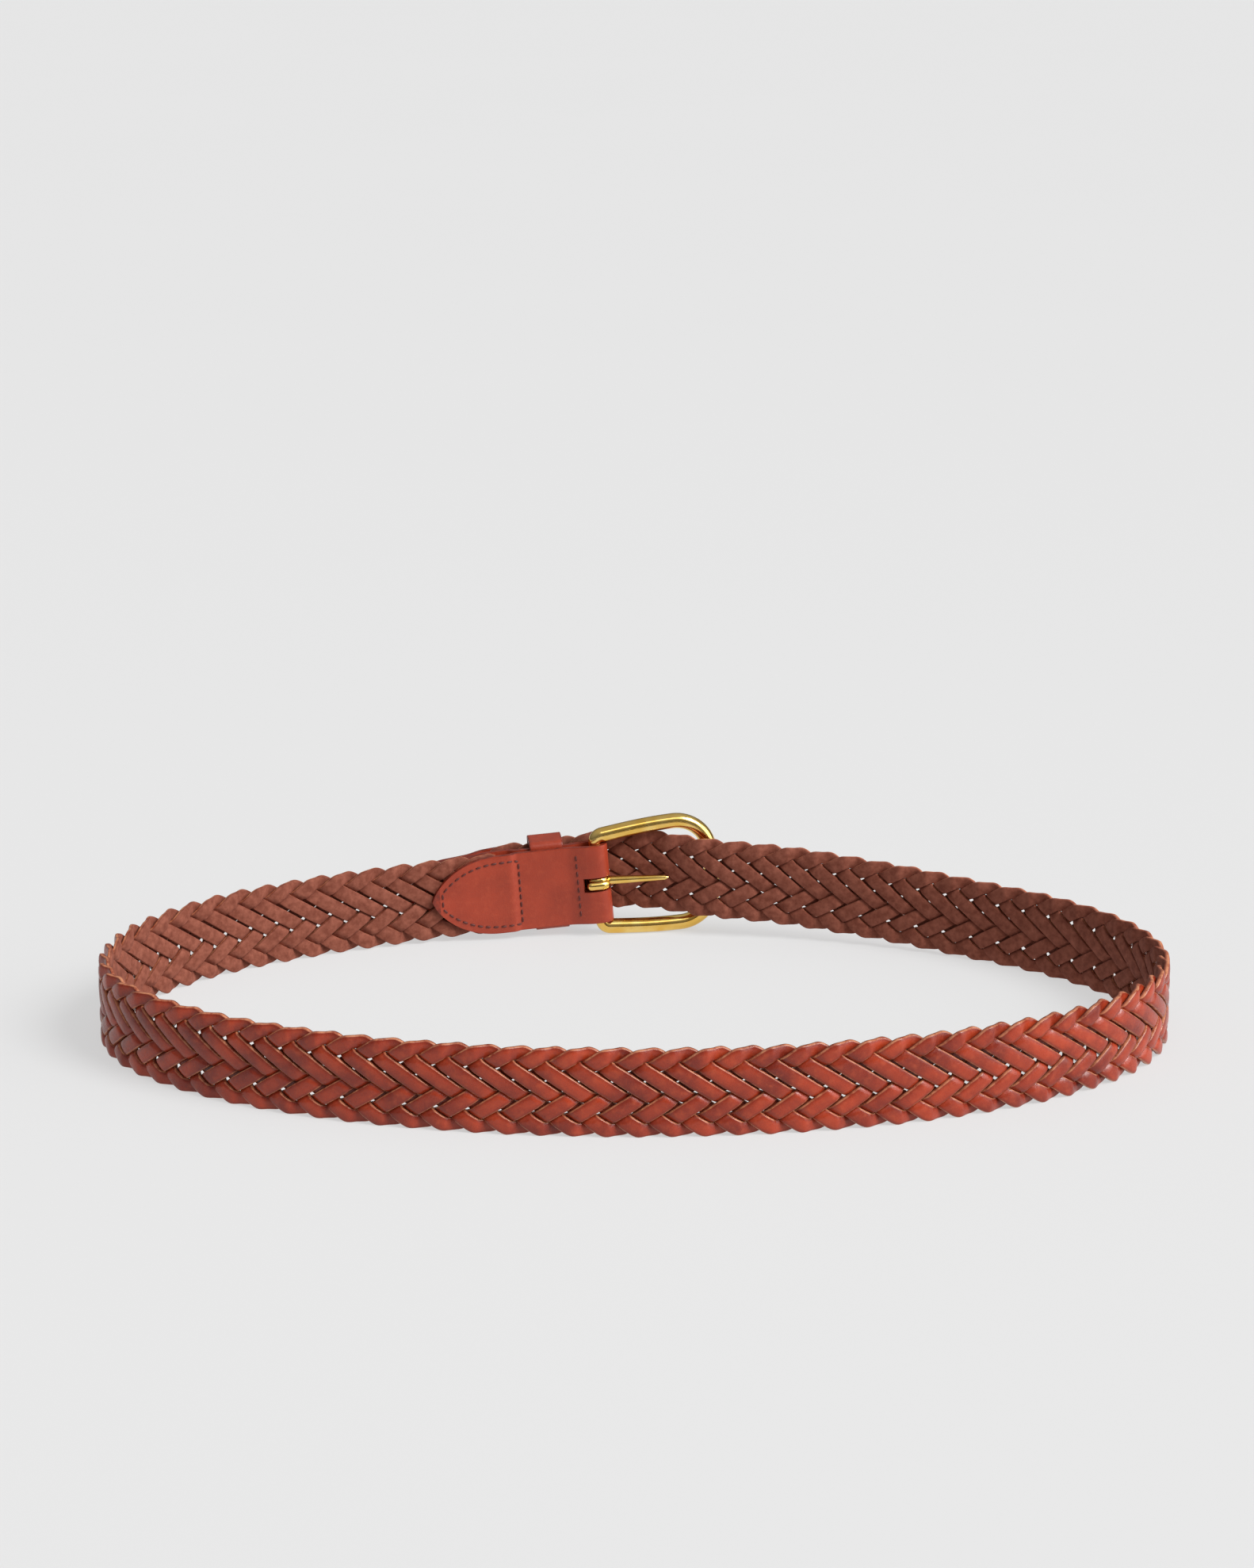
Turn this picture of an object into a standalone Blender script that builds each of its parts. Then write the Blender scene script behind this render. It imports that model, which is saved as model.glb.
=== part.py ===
"""Braided leather belt with a brass buckle, fastened in a loop and standing on its lower edge."""

import math

import bmesh
import bpy
import numpy as np
from mathutils import Vector

MM = 0.001

# Loop, seen from above: two half ellipses that share their ends.
LOOP_HALF_WIDTH = 183.0 * MM
LOOP_FRONT_DEPTH = 97.5 * MM
LOOP_BACK_DEPTH = 109.0 * MM
LOOP_MIDDLE_Y = -10.72 * MM  # centres the belt and its free end on the origin
BAR_OFFSET_X = -13.2 * MM  # heel bar of the buckle, left of the loop's middle

# Flat braid of eight strands.
STRAP_WIDTH = 30.0 * MM
STRAND_COUNT = 8
STRAND_SPACING = 0.35667 * STRAP_WIDTH  # along the strap, from one edge scallop to the next
STRAND_WIDTH = 0.14667 * STRAP_WIDTH
STRAND_THICKNESS = 1.7 * MM
STRAND_GAP = 0.3 * MM  # between two strands that cross
EDGE_TURN_RADIUS = 0.26667 * STRAP_WIDTH  # centre line of a strand as it turns at the strap's edge

# Chape: the leather that folds round the heel bar and holds the braid's first end.
LEATHER = 1.8 * MM
FIT_GAP = 0.3 * MM
CHAPE_WIDTH = STRAP_WIDTH
CHAPE_LENGTH = 63.0 * MM  # from the heel bar to the pointed tip
POINT_LENGTH = 26.0 * MM
BRAID_START = 34.5 * MM  # from the heel bar
BAR_SEAM = 7.6 * MM
POINT_SEAM = 29.4 * MM
POCKET_START = 30.6 * MM  # where the leaves spread to take the braid
TIP_HALF_WIDTH = 1.6 * MM
SEAM_INSET = 2.6 * MM
THREAD_RADIUS = 0.35 * MM

# Buckle.
BAR_RADIUS = 2.4 * MM
ARM_RADIUS = 2.85 * MM
HEEL_HALF_HEIGHT = CHAPE_WIDTH / 2 + 2.9 * MM  # centre line of the arms at the heel bar
FAR_HALF_HEIGHT = HEEL_HALF_HEIGHT + 1.98 * MM
FRAME_LENGTH = 42.7 * MM  # heel bar to far bar, centre lines
FRAME_CORNER = 13.0 * MM
HEEL_ROUND = 3.0 * MM
FRAME_TILT = math.radians(5.6)  # the far bar stands away from the loop
FRAME_LIFT = CHAPE_WIDTH / 2 + 5.6 * MM  # middle of the heel bar above the floor

# Prong.
PRONG_EYE_WALL = 1.7 * MM
PRONG_EYE_WIDTH = 4.6 * MM
PRONG_REACH = 26.5 * MM
PRONG_ROOT_RADIUS = 1.7 * MM
PRONG_TIP_RADIUS = 0.9 * MM
PRONG_ANGLE = math.radians(-9.0)
RUNNING_GAP = 0.35 * MM
SLOT_END = 4.9 * MM  # end of the slot in each leaf of the chape

# Keeper loop.
KEEPER_WIDTH = 12.6 * MM
KEEPER_MIDDLE = 18.2 * MM  # from the heel bar
KEEPER_LEATHER = 1.2 * MM
KEEPER_CLEARANCE = 0.9 * MM  # over and under the chape
KEEPER_CORNER = 1.0 * MM
KEEPER_LIFT = 0.2 * MM

# Free end of the strap and its leather tab.
TAIL_GAP = 2.5 * MM  # from the chape to the free end, at the buckle
TAB_GAP = 1.75 * MM  # from the chape to the tab
TAIL_LIFT = 0.3 * MM
TAIL_DROOP = 2.4 * MM  # the free end sags past the keeper
TAIL_DROOP_START = 28.0 * MM
TAIL_DROOP_REACH = 34.0 * MM
BRAID_TAIL = 38.0 * MM  # braid past the heel bar
TAB_START = 28.0 * MM
TAB_LENGTH = 42.0 * MM
TAB_WIDTH = 0.9 * STRAP_WIDTH
TAB_LEATHER = 1.5 * MM
TAB_ROUND = 16.0 * MM
TAB_TIP_HALF_WIDTH = 2.2 * MM
TAB_SEAM_INSET = 2.0 * MM

LIFT_REACH = 125.0 * MM  # the chape comes down to the floor over this length
FREE_LIFT = 8.6 * MM
FREE_LIFT_REACH = 150.0 * MM

BAR_LIFT = FRAME_LIFT - CHAPE_WIDTH / 2
BAR_ROLL = math.atan(2 * BAR_LIFT / LIFT_REACH)  # lean of the heel bar along the strap
SLOT_HALF = PRONG_EYE_WIDTH / 2 + RUNNING_GAP
HALF_WIDTH = STRAP_WIDTH / 2
LAYER = (STRAND_THICKNESS + STRAND_GAP) / 2
BRAID_HALF = STRAND_THICKNESS + STRAND_GAP / 2
TAIL_OFFSET = KEEPER_LEATHER / 2 + FIT_GAP + LEATHER + TAIL_GAP + BRAID_HALF
PAST_CHAPE = 2 * BRAID_HALF + 2 * FIT_GAP + LEATHER + TAB_LEATHER + TAB_GAP
TAIL_SPREAD = PAST_CHAPE - TAIL_OFFSET
PERIOD = STRAND_COUNT * STRAND_SPACING


# ---------------------------------------------------------------- edge of the braid

def slope_angle():
    """Angle of the strands that makes the braid as wide as the strap."""
    low, high = math.radians(10), math.radians(60)
    for _ in range(60):
        angle = (low + high) / 2
        peak = STRAND_COUNT * STRAND_SPACING * math.tan(angle) / 4
        peak -= EDGE_TURN_RADIUS * (1 / math.cos(angle) - 1)
        if peak + STRAND_WIDTH / 2 > HALF_WIDTH:
            high = angle
        else:
            low = angle
    return low


SLOPE = slope_angle()
SHARP_PEAK = STRAND_COUNT * STRAND_SPACING * math.tan(SLOPE) / 4


def edge_height(x, side):
    """Height of one edge of a strand, side +1 or -1, that peaks at x = 0 (one falling half period)."""
    radius = EDGE_TURN_RADIUS + side * STRAND_WIDTH / 2
    centre = SHARP_PEAK - EDGE_TURN_RADIUS / math.cos(SLOPE)
    reach = radius * math.sin(SLOPE)
    if abs(x) <= reach:
        return centre + math.sqrt(radius * radius - x * x)
    return SHARP_PEAK - abs(x) * math.tan(SLOPE) + side * STRAND_WIDTH / 2 / math.cos(SLOPE)


def turn_corner():
    """Where a strand's lower edge first meets the next strand's upper edge, past its top turn."""
    low, high = 0.0, STRAND_SPACING / 2
    for _ in range(50):
        x = (low + high) / 2
        if edge_height(x, -1) > edge_height(x - STRAND_SPACING, 1):
            low = x
        else:
            high = x
    return low


EDGE_FLAT = edge_height(turn_corner(), 1)  # from the strap's middle to the flats that it rests on


# ---------------------------------------------------------------- centre line of the loop

def smooth(t):
    t = min(max(t, 0.0), 1.0)
    return t * t * (3 - 2 * t)


def oval(angle):
    depth = LOOP_BACK_DEPTH if math.sin(angle) > 0 else LOOP_FRONT_DEPTH
    return np.array([LOOP_HALF_WIDTH * math.cos(angle), LOOP_MIDDLE_Y + depth * math.sin(angle)])


START_ANGLE = math.acos(BAR_OFFSET_X / LOOP_HALF_WIDTH)
STEPS = 2400
ANGLES = np.linspace(START_ANGLE, START_ANGLE + 2 * math.pi, STEPS + 1)
OVAL_POINTS = np.array([oval(a) for a in ANGLES])
OVAL_LENGTHS = np.concatenate([[0.0], np.cumsum(np.hypot(*np.diff(OVAL_POINTS, axis=0).T))])
LOOP_LENGTH = OVAL_LENGTHS[-1]


def base_point(run):
    """Point and outward direction at a distance leftwards from the heel bar."""
    run = run % LOOP_LENGTH
    here = np.array([np.interp(run, OVAL_LENGTHS, OVAL_POINTS[:, i]) for i in (0, 1)])
    near = [(run + d) % LOOP_LENGTH for d in (-0.5 * MM, 0.5 * MM)]
    ends = [np.array([np.interp(r, OVAL_LENGTHS, OVAL_POINTS[:, i]) for i in (0, 1)]) for r in near]
    along = ends[1] - ends[0]
    along /= np.hypot(*along)
    return here, np.array([along[1], -along[0]])


def chape_lift(run):
    return BAR_LIFT * max(0.0, 1 - max(run, -LIFT_REACH) / LIFT_REACH) ** 2


def strap_offset(run):
    """How far the strap's middle lies outside the oval: the free end passes through the frame."""
    free = run - LOOP_LENGTH
    through = math.sin(FRAME_TILT) * FRAME_LENGTH - ARM_RADIUS - BRAID_HALF - 2 * RUNNING_GAP
    if free < -FRAME_LENGTH - 3 * MM:
        return through * smooth((free + 82 * MM) / (36 * MM))
    if free < 0:
        return through + (TAIL_OFFSET - through) * smooth((free + FRAME_LENGTH + 1.5 * MM) / (34 * MM))
    return TAIL_OFFSET + TAIL_SPREAD * smooth(free / (42 * MM))


def strap_lift(run):
    free = run - LOOP_LENGTH
    if free < -0.5 * LOOP_LENGTH:
        return chape_lift(run)
    if free < -10 * MM:
        return FREE_LIFT * (1 - smooth((-free - 12 * MM) / FREE_LIFT_REACH))
    droop = TAIL_DROOP * smooth((free - TAIL_DROOP_START) / TAIL_DROOP_REACH)
    beside = chape_lift(free) + TAIL_LIFT - droop
    return FREE_LIFT + (beside - FREE_LIFT) * smooth((free + 10 * MM) / (30 * MM))


RUNS = np.arange(0.0, LOOP_LENGTH + 130 * MM, 1.0 * MM)
STRAP_LINE = []
for run in RUNS:
    spot, outward = base_point(run)
    middle = spot + outward * strap_offset(run)
    STRAP_LINE.append([middle[0], middle[1], strap_lift(run) + EDGE_FLAT])
STRAP_LINE = np.array(STRAP_LINE)
STRAP_LENGTHS = np.concatenate([[0.0], np.cumsum(np.linalg.norm(np.diff(STRAP_LINE, axis=0), axis=1))])
BRAID_FIRST = float(np.interp(BRAID_START, RUNS, STRAP_LENGTHS))
BRAID_LAST = float(np.interp(LOOP_LENGTH + BRAID_TAIL, RUNS, STRAP_LENGTHS))


def place(length, across, out):
    """World point of the strap: length along it, across its width, out from its middle."""
    here = np.array([np.interp(length, STRAP_LENGTHS, STRAP_LINE[:, i]) for i in range(3)])
    ahead = np.array([np.interp(length + MM, STRAP_LENGTHS, STRAP_LINE[:, i]) for i in range(3)])
    behind = np.array([np.interp(length - MM, STRAP_LENGTHS, STRAP_LINE[:, i]) for i in range(3)])
    along = ahead - behind
    along /= np.linalg.norm(along)
    outward = np.array([along[1], -along[0], 0.0])
    outward /= np.linalg.norm(outward)
    up = np.cross(outward, along)
    return Vector(here + up * across + outward * out)


def place_free(past_bar, across, out):
    return place(float(np.interp(LOOP_LENGTH + past_bar, RUNS, STRAP_LENGTHS)), across, out)


# ---------------------------------------------------------------- materials and helpers

def finish(name, colour, roughness, metallic=0.0):
    material = bpy.data.materials.new(name)
    material.use_nodes = True
    shader = material.node_tree.nodes["Principled BSDF"]
    shader.inputs["Base Color"].default_value = (*colour, 1.0)
    shader.inputs["Roughness"].default_value = roughness
    shader.inputs["Metallic"].default_value = metallic
    return material


def make_object(name, bm, material, smooth_angle=None):
    bmesh.ops.recalc_face_normals(bm, faces=bm.faces)
    mesh = bpy.data.meshes.new(name)
    bm.to_mesh(mesh)
    bm.free()
    mesh.materials.append(material)
    if smooth_angle is not None:
        mesh.shade_smooth()
        mesh.set_sharp_from_angle(angle=smooth_angle)
    piece = bpy.data.objects.new(name, mesh)
    bpy.context.collection.objects.link(piece)
    return piece


def loft(bm, rings, closed=False):
    """Joins rings of points with quads, and caps the ends of an open run."""
    made = [[bm.verts.new(p) for p in ring] for ring in rings]
    pairs = list(zip(made, made[1:]))
    if closed:
        pairs.append((made[-1], made[0]))
    for first, second in pairs:
        for i in range(len(first)):
            j = (i + 1) % len(first)
            bm.faces.new((first[i], first[j], second[j], second[i]))
    if not closed:
        bm.faces.new(list(reversed(made[0])))
        bm.faces.new(made[-1])


def tube_rings(points, radii, sides, closed, up=(0, 0, 1)):
    rings = []
    count = len(points)
    for i, point in enumerate(points):
        ahead = points[(i + 1) % count] if closed or i < count - 1 else point
        behind = points[i - 1] if closed or i > 0 else point
        along = (Vector(ahead) - Vector(behind)).normalized()
        side = along.cross(Vector(up)).normalized()
        top = side.cross(along)
        ring = []
        for k in range(sides):
            turn = 2 * math.pi * (k + 0.5) / sides
            ring.append(Vector(point) + radii[i] * (math.cos(turn) * side + math.sin(turn) * top))
        rings.append(ring)
    return rings


# ---------------------------------------------------------------- braid

def lattice_point(level, before, side):
    """Where a strand's edge (side) meets the near or far edge of the strand it crosses at a level."""
    step = STRAND_SPACING / 2
    near = -1 if before else 1
    dx = (side + near) * STRAND_WIDTH / (4 * math.sin(SLOPE))
    dy = (side - near) * STRAND_WIDTH / (4 * math.cos(SLOPE))
    x = level * step + dx
    y = SHARP_PEAK - level * step * math.tan(SLOPE) + dy
    if level == 1:
        if side == 1:
            x = STRAND_SPACING - turn_corner()
        y = edge_height(x, side)
    return x, y


OVER = {1: False, 2: True, 3: True, 4: True, 5: False, 6: False, 7: True}


def half_period():
    """Stations of a falling strand: (upper edge, lower edge, layer), from top turn to bottom turn."""
    stations = []
    for level in range(1, STRAND_COUNT):
        layer = LAYER if OVER[level] else -LAYER
        first = level == 1 or OVER[level] != OVER[level - 1]
        last = level == STRAND_COUNT - 1 or OVER[level] != OVER[level + 1]
        ends = []
        if first:
            ends.append(True)
        if last:
            ends.append(False)
        if not ends and level == 3:
            ends = [None]
        for before in ends:
            pair = []
            for side in (1, -1):
                if before is None:
                    two = [lattice_point(level, b, side) for b in (True, False)]
                    pair.append(((two[0][0] + two[1][0]) / 2, (two[0][1] + two[1][1]) / 2))
                elif level == 1 and before:
                    x = turn_corner()
                    pair.append((x, edge_height(x, side)))
                elif level == STRAND_COUNT - 1 and not before:
                    x = turn_corner()
                    pair.append((PERIOD / 2 - x, -edge_height(x, -side)))
                elif level == STRAND_COUNT - 1:
                    x, y = lattice_point(1, False, -side)
                    pair.append((PERIOD / 2 - x, -y))
                else:
                    pair.append(lattice_point(level, before, side))
            stations.append((pair[0], pair[1], layer))
    return stations


def period_stations():
    falling = half_period()
    rising = []
    for upper, lower, layer in reversed(falling):
        # The same lattice seen from the other family: mirrored along the strap, other layer.
        rising.append(((PERIOD - upper[0], upper[1]), (PERIOD - lower[0], lower[1]), -layer))
    return falling + rising


def strand_rings(index):
    pattern = period_stations()
    first = BRAID_FIRST
    last = BRAID_LAST
    rings = []
    turn = -2
    while True:
        start = index * STRAND_SPACING + turn * PERIOD
        if start > last:
            break
        for upper, lower, layer in pattern:
            a = start + upper[0]
            b = start + lower[0]
            if min(a, b) < first or max(a, b) > last:
                continue
            half = STRAND_THICKNESS / 2
            rings.append([place(a, upper[1], layer + half), place(b, lower[1], layer + half),
                          place(b, lower[1], layer - half), place(a, upper[1], layer - half)])
        turn += 1
    return rings


def make_strand(index, material):
    bm = bmesh.new()
    loft(bm, strand_rings(index))
    return make_object(f"strand_{index + 1}", bm, material)


# ---------------------------------------------------------------- chape

def leaf_offset(run):
    """Middle of a chape leaf, measured from the middle of the folded pair."""
    at_bar = BAR_RADIUS + FIT_GAP + LEATHER / 2
    at_keeper = KEEPER_LEATHER / 2 + FIT_GAP + LEATHER / 2
    at_braid = BRAID_HALF + FIT_GAP + LEATHER / 2
    if run < POCKET_START:
        return at_bar + (at_keeper - at_bar) * smooth((run - 2 * MM) / (BAR_SEAM + 2 * MM))
    return at_keeper + (at_braid - at_keeper) * smooth((run - POCKET_START + 0.5 * MM) / (2.6 * MM))


def chape_frame(run):
    spot, outward = base_point(run)
    slope = math.atan(2 * BAR_LIFT / LIFT_REACH * max(0.0, 1 - max(run, 0) / LIFT_REACH))
    along = np.array([outward[1] * -1, outward[0], 0.0])
    rightwards = -along * math.cos(slope) + np.array([0, 0, math.sin(slope)])
    up = along * math.sin(slope) + np.array([0, 0, math.cos(slope)])
    return (np.array([*spot, chape_lift(max(run, 0)) + CHAPE_WIDTH / 2]),
            np.array([*outward, 0.0]), rightwards, up)


def chape_place(run, across, out):
    middle, outward, _, up = chape_frame(run)
    return Vector(middle + up * across + outward * out)


def chape_half_width(run):
    """Straight sides, then a pointed end drawn with two arcs."""
    into = max(run - (CHAPE_LENGTH - POINT_LENGTH), 0.0)
    radius = (POINT_LENGTH ** 2 + (CHAPE_WIDTH / 2) ** 2) / CHAPE_WIDTH
    return max(math.sqrt(radius ** 2 - into ** 2) - radius + CHAPE_WIDTH / 2, TIP_HALF_WIDTH)


def chape_columns():
    """Along the leather, from the outer leaf's tip round the bar to the inner leaf's tip."""
    spots = [CHAPE_LENGTH - POINT_LENGTH * t for t in (0, 0.05, 0.12, 0.22, 0.35, 0.5, 0.75, 1)]
    spots += [POCKET_START + t * MM for t in (3.0, 2.1, 1.2, 0.4, -0.5)]
    spots += [KEEPER_MIDDLE, BAR_SEAM + 4 * MM, BAR_SEAM, SLOT_END, 3 * MM, 0]
    columns = []
    for run in spots:
        columns.append((run, leaf_offset(run), 0.0, chape_half_width(run)))
    turns = 8
    for k in range(1, turns):
        columns.append((0.0, leaf_offset(0), math.pi * k / turns, CHAPE_WIDTH / 2))
    for run in reversed(spots):
        columns.append((run, -leaf_offset(run), math.pi, chape_half_width(run)))
    return columns


def make_chape(material):
    bm = bmesh.new()
    rows = (-1.0, -0.55, None, "slot", 0.55, 1.0)
    grid = []
    for run, offset, turn, half in chape_columns():
        middle, outward, rightwards, up = chape_frame(run)
        faces = []
        for shift in (LEATHER / 2, -LEATHER / 2):
            line = []
            for row in rows:
                if row is None:
                    across = -min(SLOT_HALF, half * 0.4)
                elif row == "slot":
                    across = min(SLOT_HALF, half * 0.4)
                else:
                    across = row * half
                if 0 < turn < math.pi:
                    reach = offset + shift
                    spot = outward * reach * math.cos(turn) + rightwards * reach * math.sin(turn)
                else:
                    spot = outward * (offset + shift * (1 if offset > 0 else -1))
                line.append(bm.verts.new(Vector(middle + spot + up * across)))
            faces.append(line)
        grid.append((run, turn, faces))
    count = len(rows)
    for (run_a, turn_a, a), (run_b, turn_b, b) in zip(grid, grid[1:]):
        slotted = max(run_a, run_b) <= SLOT_END + 1e-9
        for layer in (0, 1):
            for r in range(count - 1):
                if slotted and r == 2:
                    continue
                bm.faces.new((a[layer][r], a[layer][r + 1], b[layer][r + 1], b[layer][r]))
        for r in (0, count - 1):
            bm.faces.new((a[0][r], a[1][r], b[1][r], b[0][r]))
        if slotted:
            for r in (2, 3):
                bm.faces.new((a[0][r], a[1][r], b[1][r], b[0][r]))
    for end in (grid[0], grid[-1]):
        for r in range(count - 1):
            bm.faces.new((end[2][0][r], end[2][0][r + 1], end[2][1][r + 1], end[2][1][r]))
    inside = [g for g in grid if g[0] <= SLOT_END + 1e-9]
    for end in (inside[0], inside[-1]):
        bm.faces.new((end[2][0][2], end[2][0][3], end[2][1][3], end[2][1][2]))
    return make_object("chape", bm, material)


# ---------------------------------------------------------------- stitching

def make_thread(name, points, material, closed=False):
    bm = bmesh.new()
    loft(bm, tube_rings(points, [THREAD_RADIUS] * len(points), 5, closed, up=(0.3, 1, 0.1)), closed)
    return make_object(name, bm, material, math.radians(60))


def chape_thread_out(run, side):
    return side * (leaf_offset(run) + LEATHER / 2 + FIT_GAP / 2 + THREAD_RADIUS)


def bar_seam_points(side):
    reach = CHAPE_WIDTH / 2 - SEAM_INSET
    return [chape_place(BAR_SEAM, y, chape_thread_out(BAR_SEAM, side)) for y in np.linspace(-reach, reach, 8)]


def point_seam_points(side):
    """Across the chape beside the braid's end, then round the pointed leaf inside its edge."""
    start = POINT_SEAM
    reach = CHAPE_WIDTH / 2 - SEAM_INSET
    spots = [(start, -reach + 2 * reach * k / 5) for k in range(5)]
    tip = CHAPE_LENGTH - 2.2 * SEAM_INSET
    outline = [start, POCKET_START - 0.5 * MM, POCKET_START + 1.2 * MM, POCKET_START + 2.6 * MM]
    outline += [start + (tip - start) * t for t in (0.3, 0.5, 0.65, 0.78, 0.88, 0.95)]
    upper = [(run, max(chape_half_width(run) - SEAM_INSET, 0.8 * MM)) for run in outline]
    spots += upper
    spots += [(tip, 0.0)]
    spots += [(run, -across) for run, across in reversed(upper[1:])]
    return [chape_place(run, y, chape_thread_out(run, side)) for run, y in spots]


# ---------------------------------------------------------------- keeper

def make_keeper(material):
    """Closed leather loop round the chape's outer leaf and the free end of the strap."""
    inner_low = KEEPER_LEATHER / 2
    outer_face = TAIL_OFFSET + TAIL_SPREAD + BRAID_HALF + FIT_GAP
    half_high = CHAPE_WIDTH / 2 + KEEPER_CLEARANCE
    corner = KEEPER_CORNER
    outlines = []
    for grow in (0.0, KEEPER_LEATHER):
        outline = []
        radius = corner + grow
        for cx, cy, start in ((outer_face - corner, half_high - corner, 0),
                              (inner_low + corner, half_high - corner, 1),
                              (inner_low + corner, -half_high + corner, 2),
                              (outer_face - corner, -half_high + corner, 3)):
            for k in range(4):
                turn = math.pi / 2 * (start + k / 3)
                outline.append((cx + radius * math.cos(turn), cy + radius * math.sin(turn) + KEEPER_LIFT))
        outlines.append(outline)
    bm = bmesh.new()
    rings = []
    middle, outward, rightwards, up = chape_frame(KEEPER_MIDDLE)
    for shift in (-KEEPER_WIDTH / 2, KEEPER_WIDTH / 2):
        for outline in outlines if shift < 0 else reversed(outlines):
            rings.append([bm.verts.new(Vector(middle - rightwards * shift + outward * out + up * y))
                          for out, y in outline])
    for first, second in zip(rings, rings[1:] + rings[:1]):
        for i in range(len(first)):
            j = (i + 1) % len(first)
            bm.faces.new((first[i], first[j], second[j], second[i]))
    return make_object("keeper", bm, material, math.radians(40))


# ---------------------------------------------------------------- buckle

def bar_frame():
    """Heel bar: its middle, the direction to the far bar, and its own direction."""
    spot, outward = base_point(0.0)
    flat = np.array([outward[1], -outward[0], 0.0])
    out = np.array([*outward, 0.0])
    axis = np.array([0, 0, math.cos(BAR_ROLL)]) - flat * math.sin(BAR_ROLL)
    reach = flat * math.cos(BAR_ROLL) + np.array([0, 0, math.sin(BAR_ROLL)])
    return np.array([*spot, FRAME_LIFT]), reach, out, axis


def frame_outline():
    """Centre line of the frame in its own plane: (distance from the heel bar, height, radius)."""
    upper = [(0.0, HEEL_HALF_HEIGHT - HEEL_ROUND, BAR_RADIUS),
             (0.23 * HEEL_ROUND, HEEL_HALF_HEIGHT - 0.23 * HEEL_ROUND, BAR_RADIUS),
             (HEEL_ROUND, HEEL_HALF_HEIGHT + 0.1 * HEEL_ROUND, BAR_RADIUS)]
    arm_end = FRAME_LENGTH - FRAME_CORNER
    for t in (0.3, 0.65, 1.0):
        rise = HEEL_HALF_HEIGHT + (FAR_HALF_HEIGHT - HEEL_HALF_HEIGHT) * math.sin(math.pi / 2 * t)
        upper.append((HEEL_ROUND + (arm_end - HEEL_ROUND) * t, rise, ARM_RADIUS))
    corner_steps = 6
    for k in range(1, corner_steps):
        turn = math.pi / 2 * (1 - k / corner_steps)
        upper.append((arm_end + FRAME_CORNER * math.cos(turn),
                      FAR_HALF_HEIGHT - FRAME_CORNER * (1 - math.sin(turn)), ARM_RADIUS))
    straight = FAR_HALF_HEIGHT - FRAME_CORNER
    far = [(FRAME_LENGTH, straight, ARM_RADIUS), (FRAME_LENGTH, -straight, ARM_RADIUS)]
    lower = [(x, -y, r) for x, y, r in reversed(upper)]
    heel = [(0.0, -HEEL_HALF_HEIGHT / 3, BAR_RADIUS), (0.0, HEEL_HALF_HEIGHT / 3, BAR_RADIUS)]
    return upper + far + lower + heel


def make_frame(material, parent):
    _, reach, out, axis = bar_frame()
    tilted = reach * math.cos(FRAME_TILT) + out * math.sin(FRAME_TILT)
    points = []
    radii = []
    for x, y, radius in frame_outline():
        points.append(Vector(tilted * x + axis * y))
        radii.append(radius)
    normal = np.cross(tilted, axis)
    bm = bmesh.new()
    loft(bm, tube_rings(points, radii, 12, True, up=normal), True)
    piece = make_object("buckle_frame", bm, material, math.radians(50))
    piece.parent = parent
    return piece


def make_prong(material, parent):
    """An eye that turns on the heel bar, and a tapering shaft towards the far bar."""
    _, reach, out, axis = bar_frame()
    inner = BAR_RADIUS + RUNNING_GAP
    outer = inner + PRONG_EYE_WALL
    half = PRONG_EYE_WIDTH / 2
    bm = bmesh.new()
    rings = []
    for k in range(20):
        turn = 2 * math.pi * k / 20
        ray = reach * math.cos(turn) + out * math.sin(turn)
        rings.append([Vector(ray * r + axis * h) for r, h in
                      ((inner, -half), (outer, -half), (outer, half), (inner, half))])
    loft(bm, rings, True)
    eye = make_object("prong", bm, material, math.radians(40))
    bm = bmesh.new()
    direction = reach * math.cos(PRONG_ANGLE) + out * math.sin(PRONG_ANGLE)
    root = inner + PRONG_EYE_WALL * 0.45
    points = []
    radii = []
    for t in (0, 0.12, 0.3, 0.6, 0.93, 1.0):
        points.append(Vector(direction * (root + (PRONG_REACH - root) * t) + out * 0.9 * MM))
        radii.append(PRONG_ROOT_RADIUS + (PRONG_TIP_RADIUS - PRONG_ROOT_RADIUS) * t)
    radii[-1] = PRONG_TIP_RADIUS * 0.55
    loft(bm, tube_rings(points, radii, 12, False, up=axis))
    shaft = make_object("prong_shaft_cutter", bm, material)
    shaft.hide_render = True
    shaft.display_type = "WIRE"
    join = eye.modifiers.new("shaft", "BOOLEAN")
    join.operation = "UNION"
    join.solver = "EXACT"
    join.object = shaft
    eye.parent = parent
    shaft.parent = parent
    return eye


# ---------------------------------------------------------------- end tab

def tab_offset(past_bar):
    near_braid = BRAID_HALF + FIT_GAP + TAB_LEATHER / 2
    closed = FIT_GAP / 2 + TAB_LEATHER / 2
    return near_braid + (closed - near_braid) * smooth((past_bar - BRAID_TAIL - 1 * MM) / (7 * MM))


def tab_half_width(past_bar):
    into = (past_bar - (TAB_START + TAB_LENGTH - TAB_ROUND)) / TAB_ROUND
    if into <= 0:
        return TAB_WIDTH / 2
    return max(TAB_WIDTH / 2 * math.sqrt(max(0.0, 1 - into * into)), TAB_TIP_HALF_WIDTH)


def tab_runs(first, last):
    """Places along the tab: close together where the leaves step in past the braid, and at the round end."""
    step = [BRAID_TAIL + t * MM for t in (0.5, 2.5, 4.5, 6.5, 8.5)]
    round_end = [last - TAB_ROUND * t for t in (1.0, 0.7, 0.42, 0.2, 0.06)]
    return [first] + step + round_end + [last]


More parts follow.
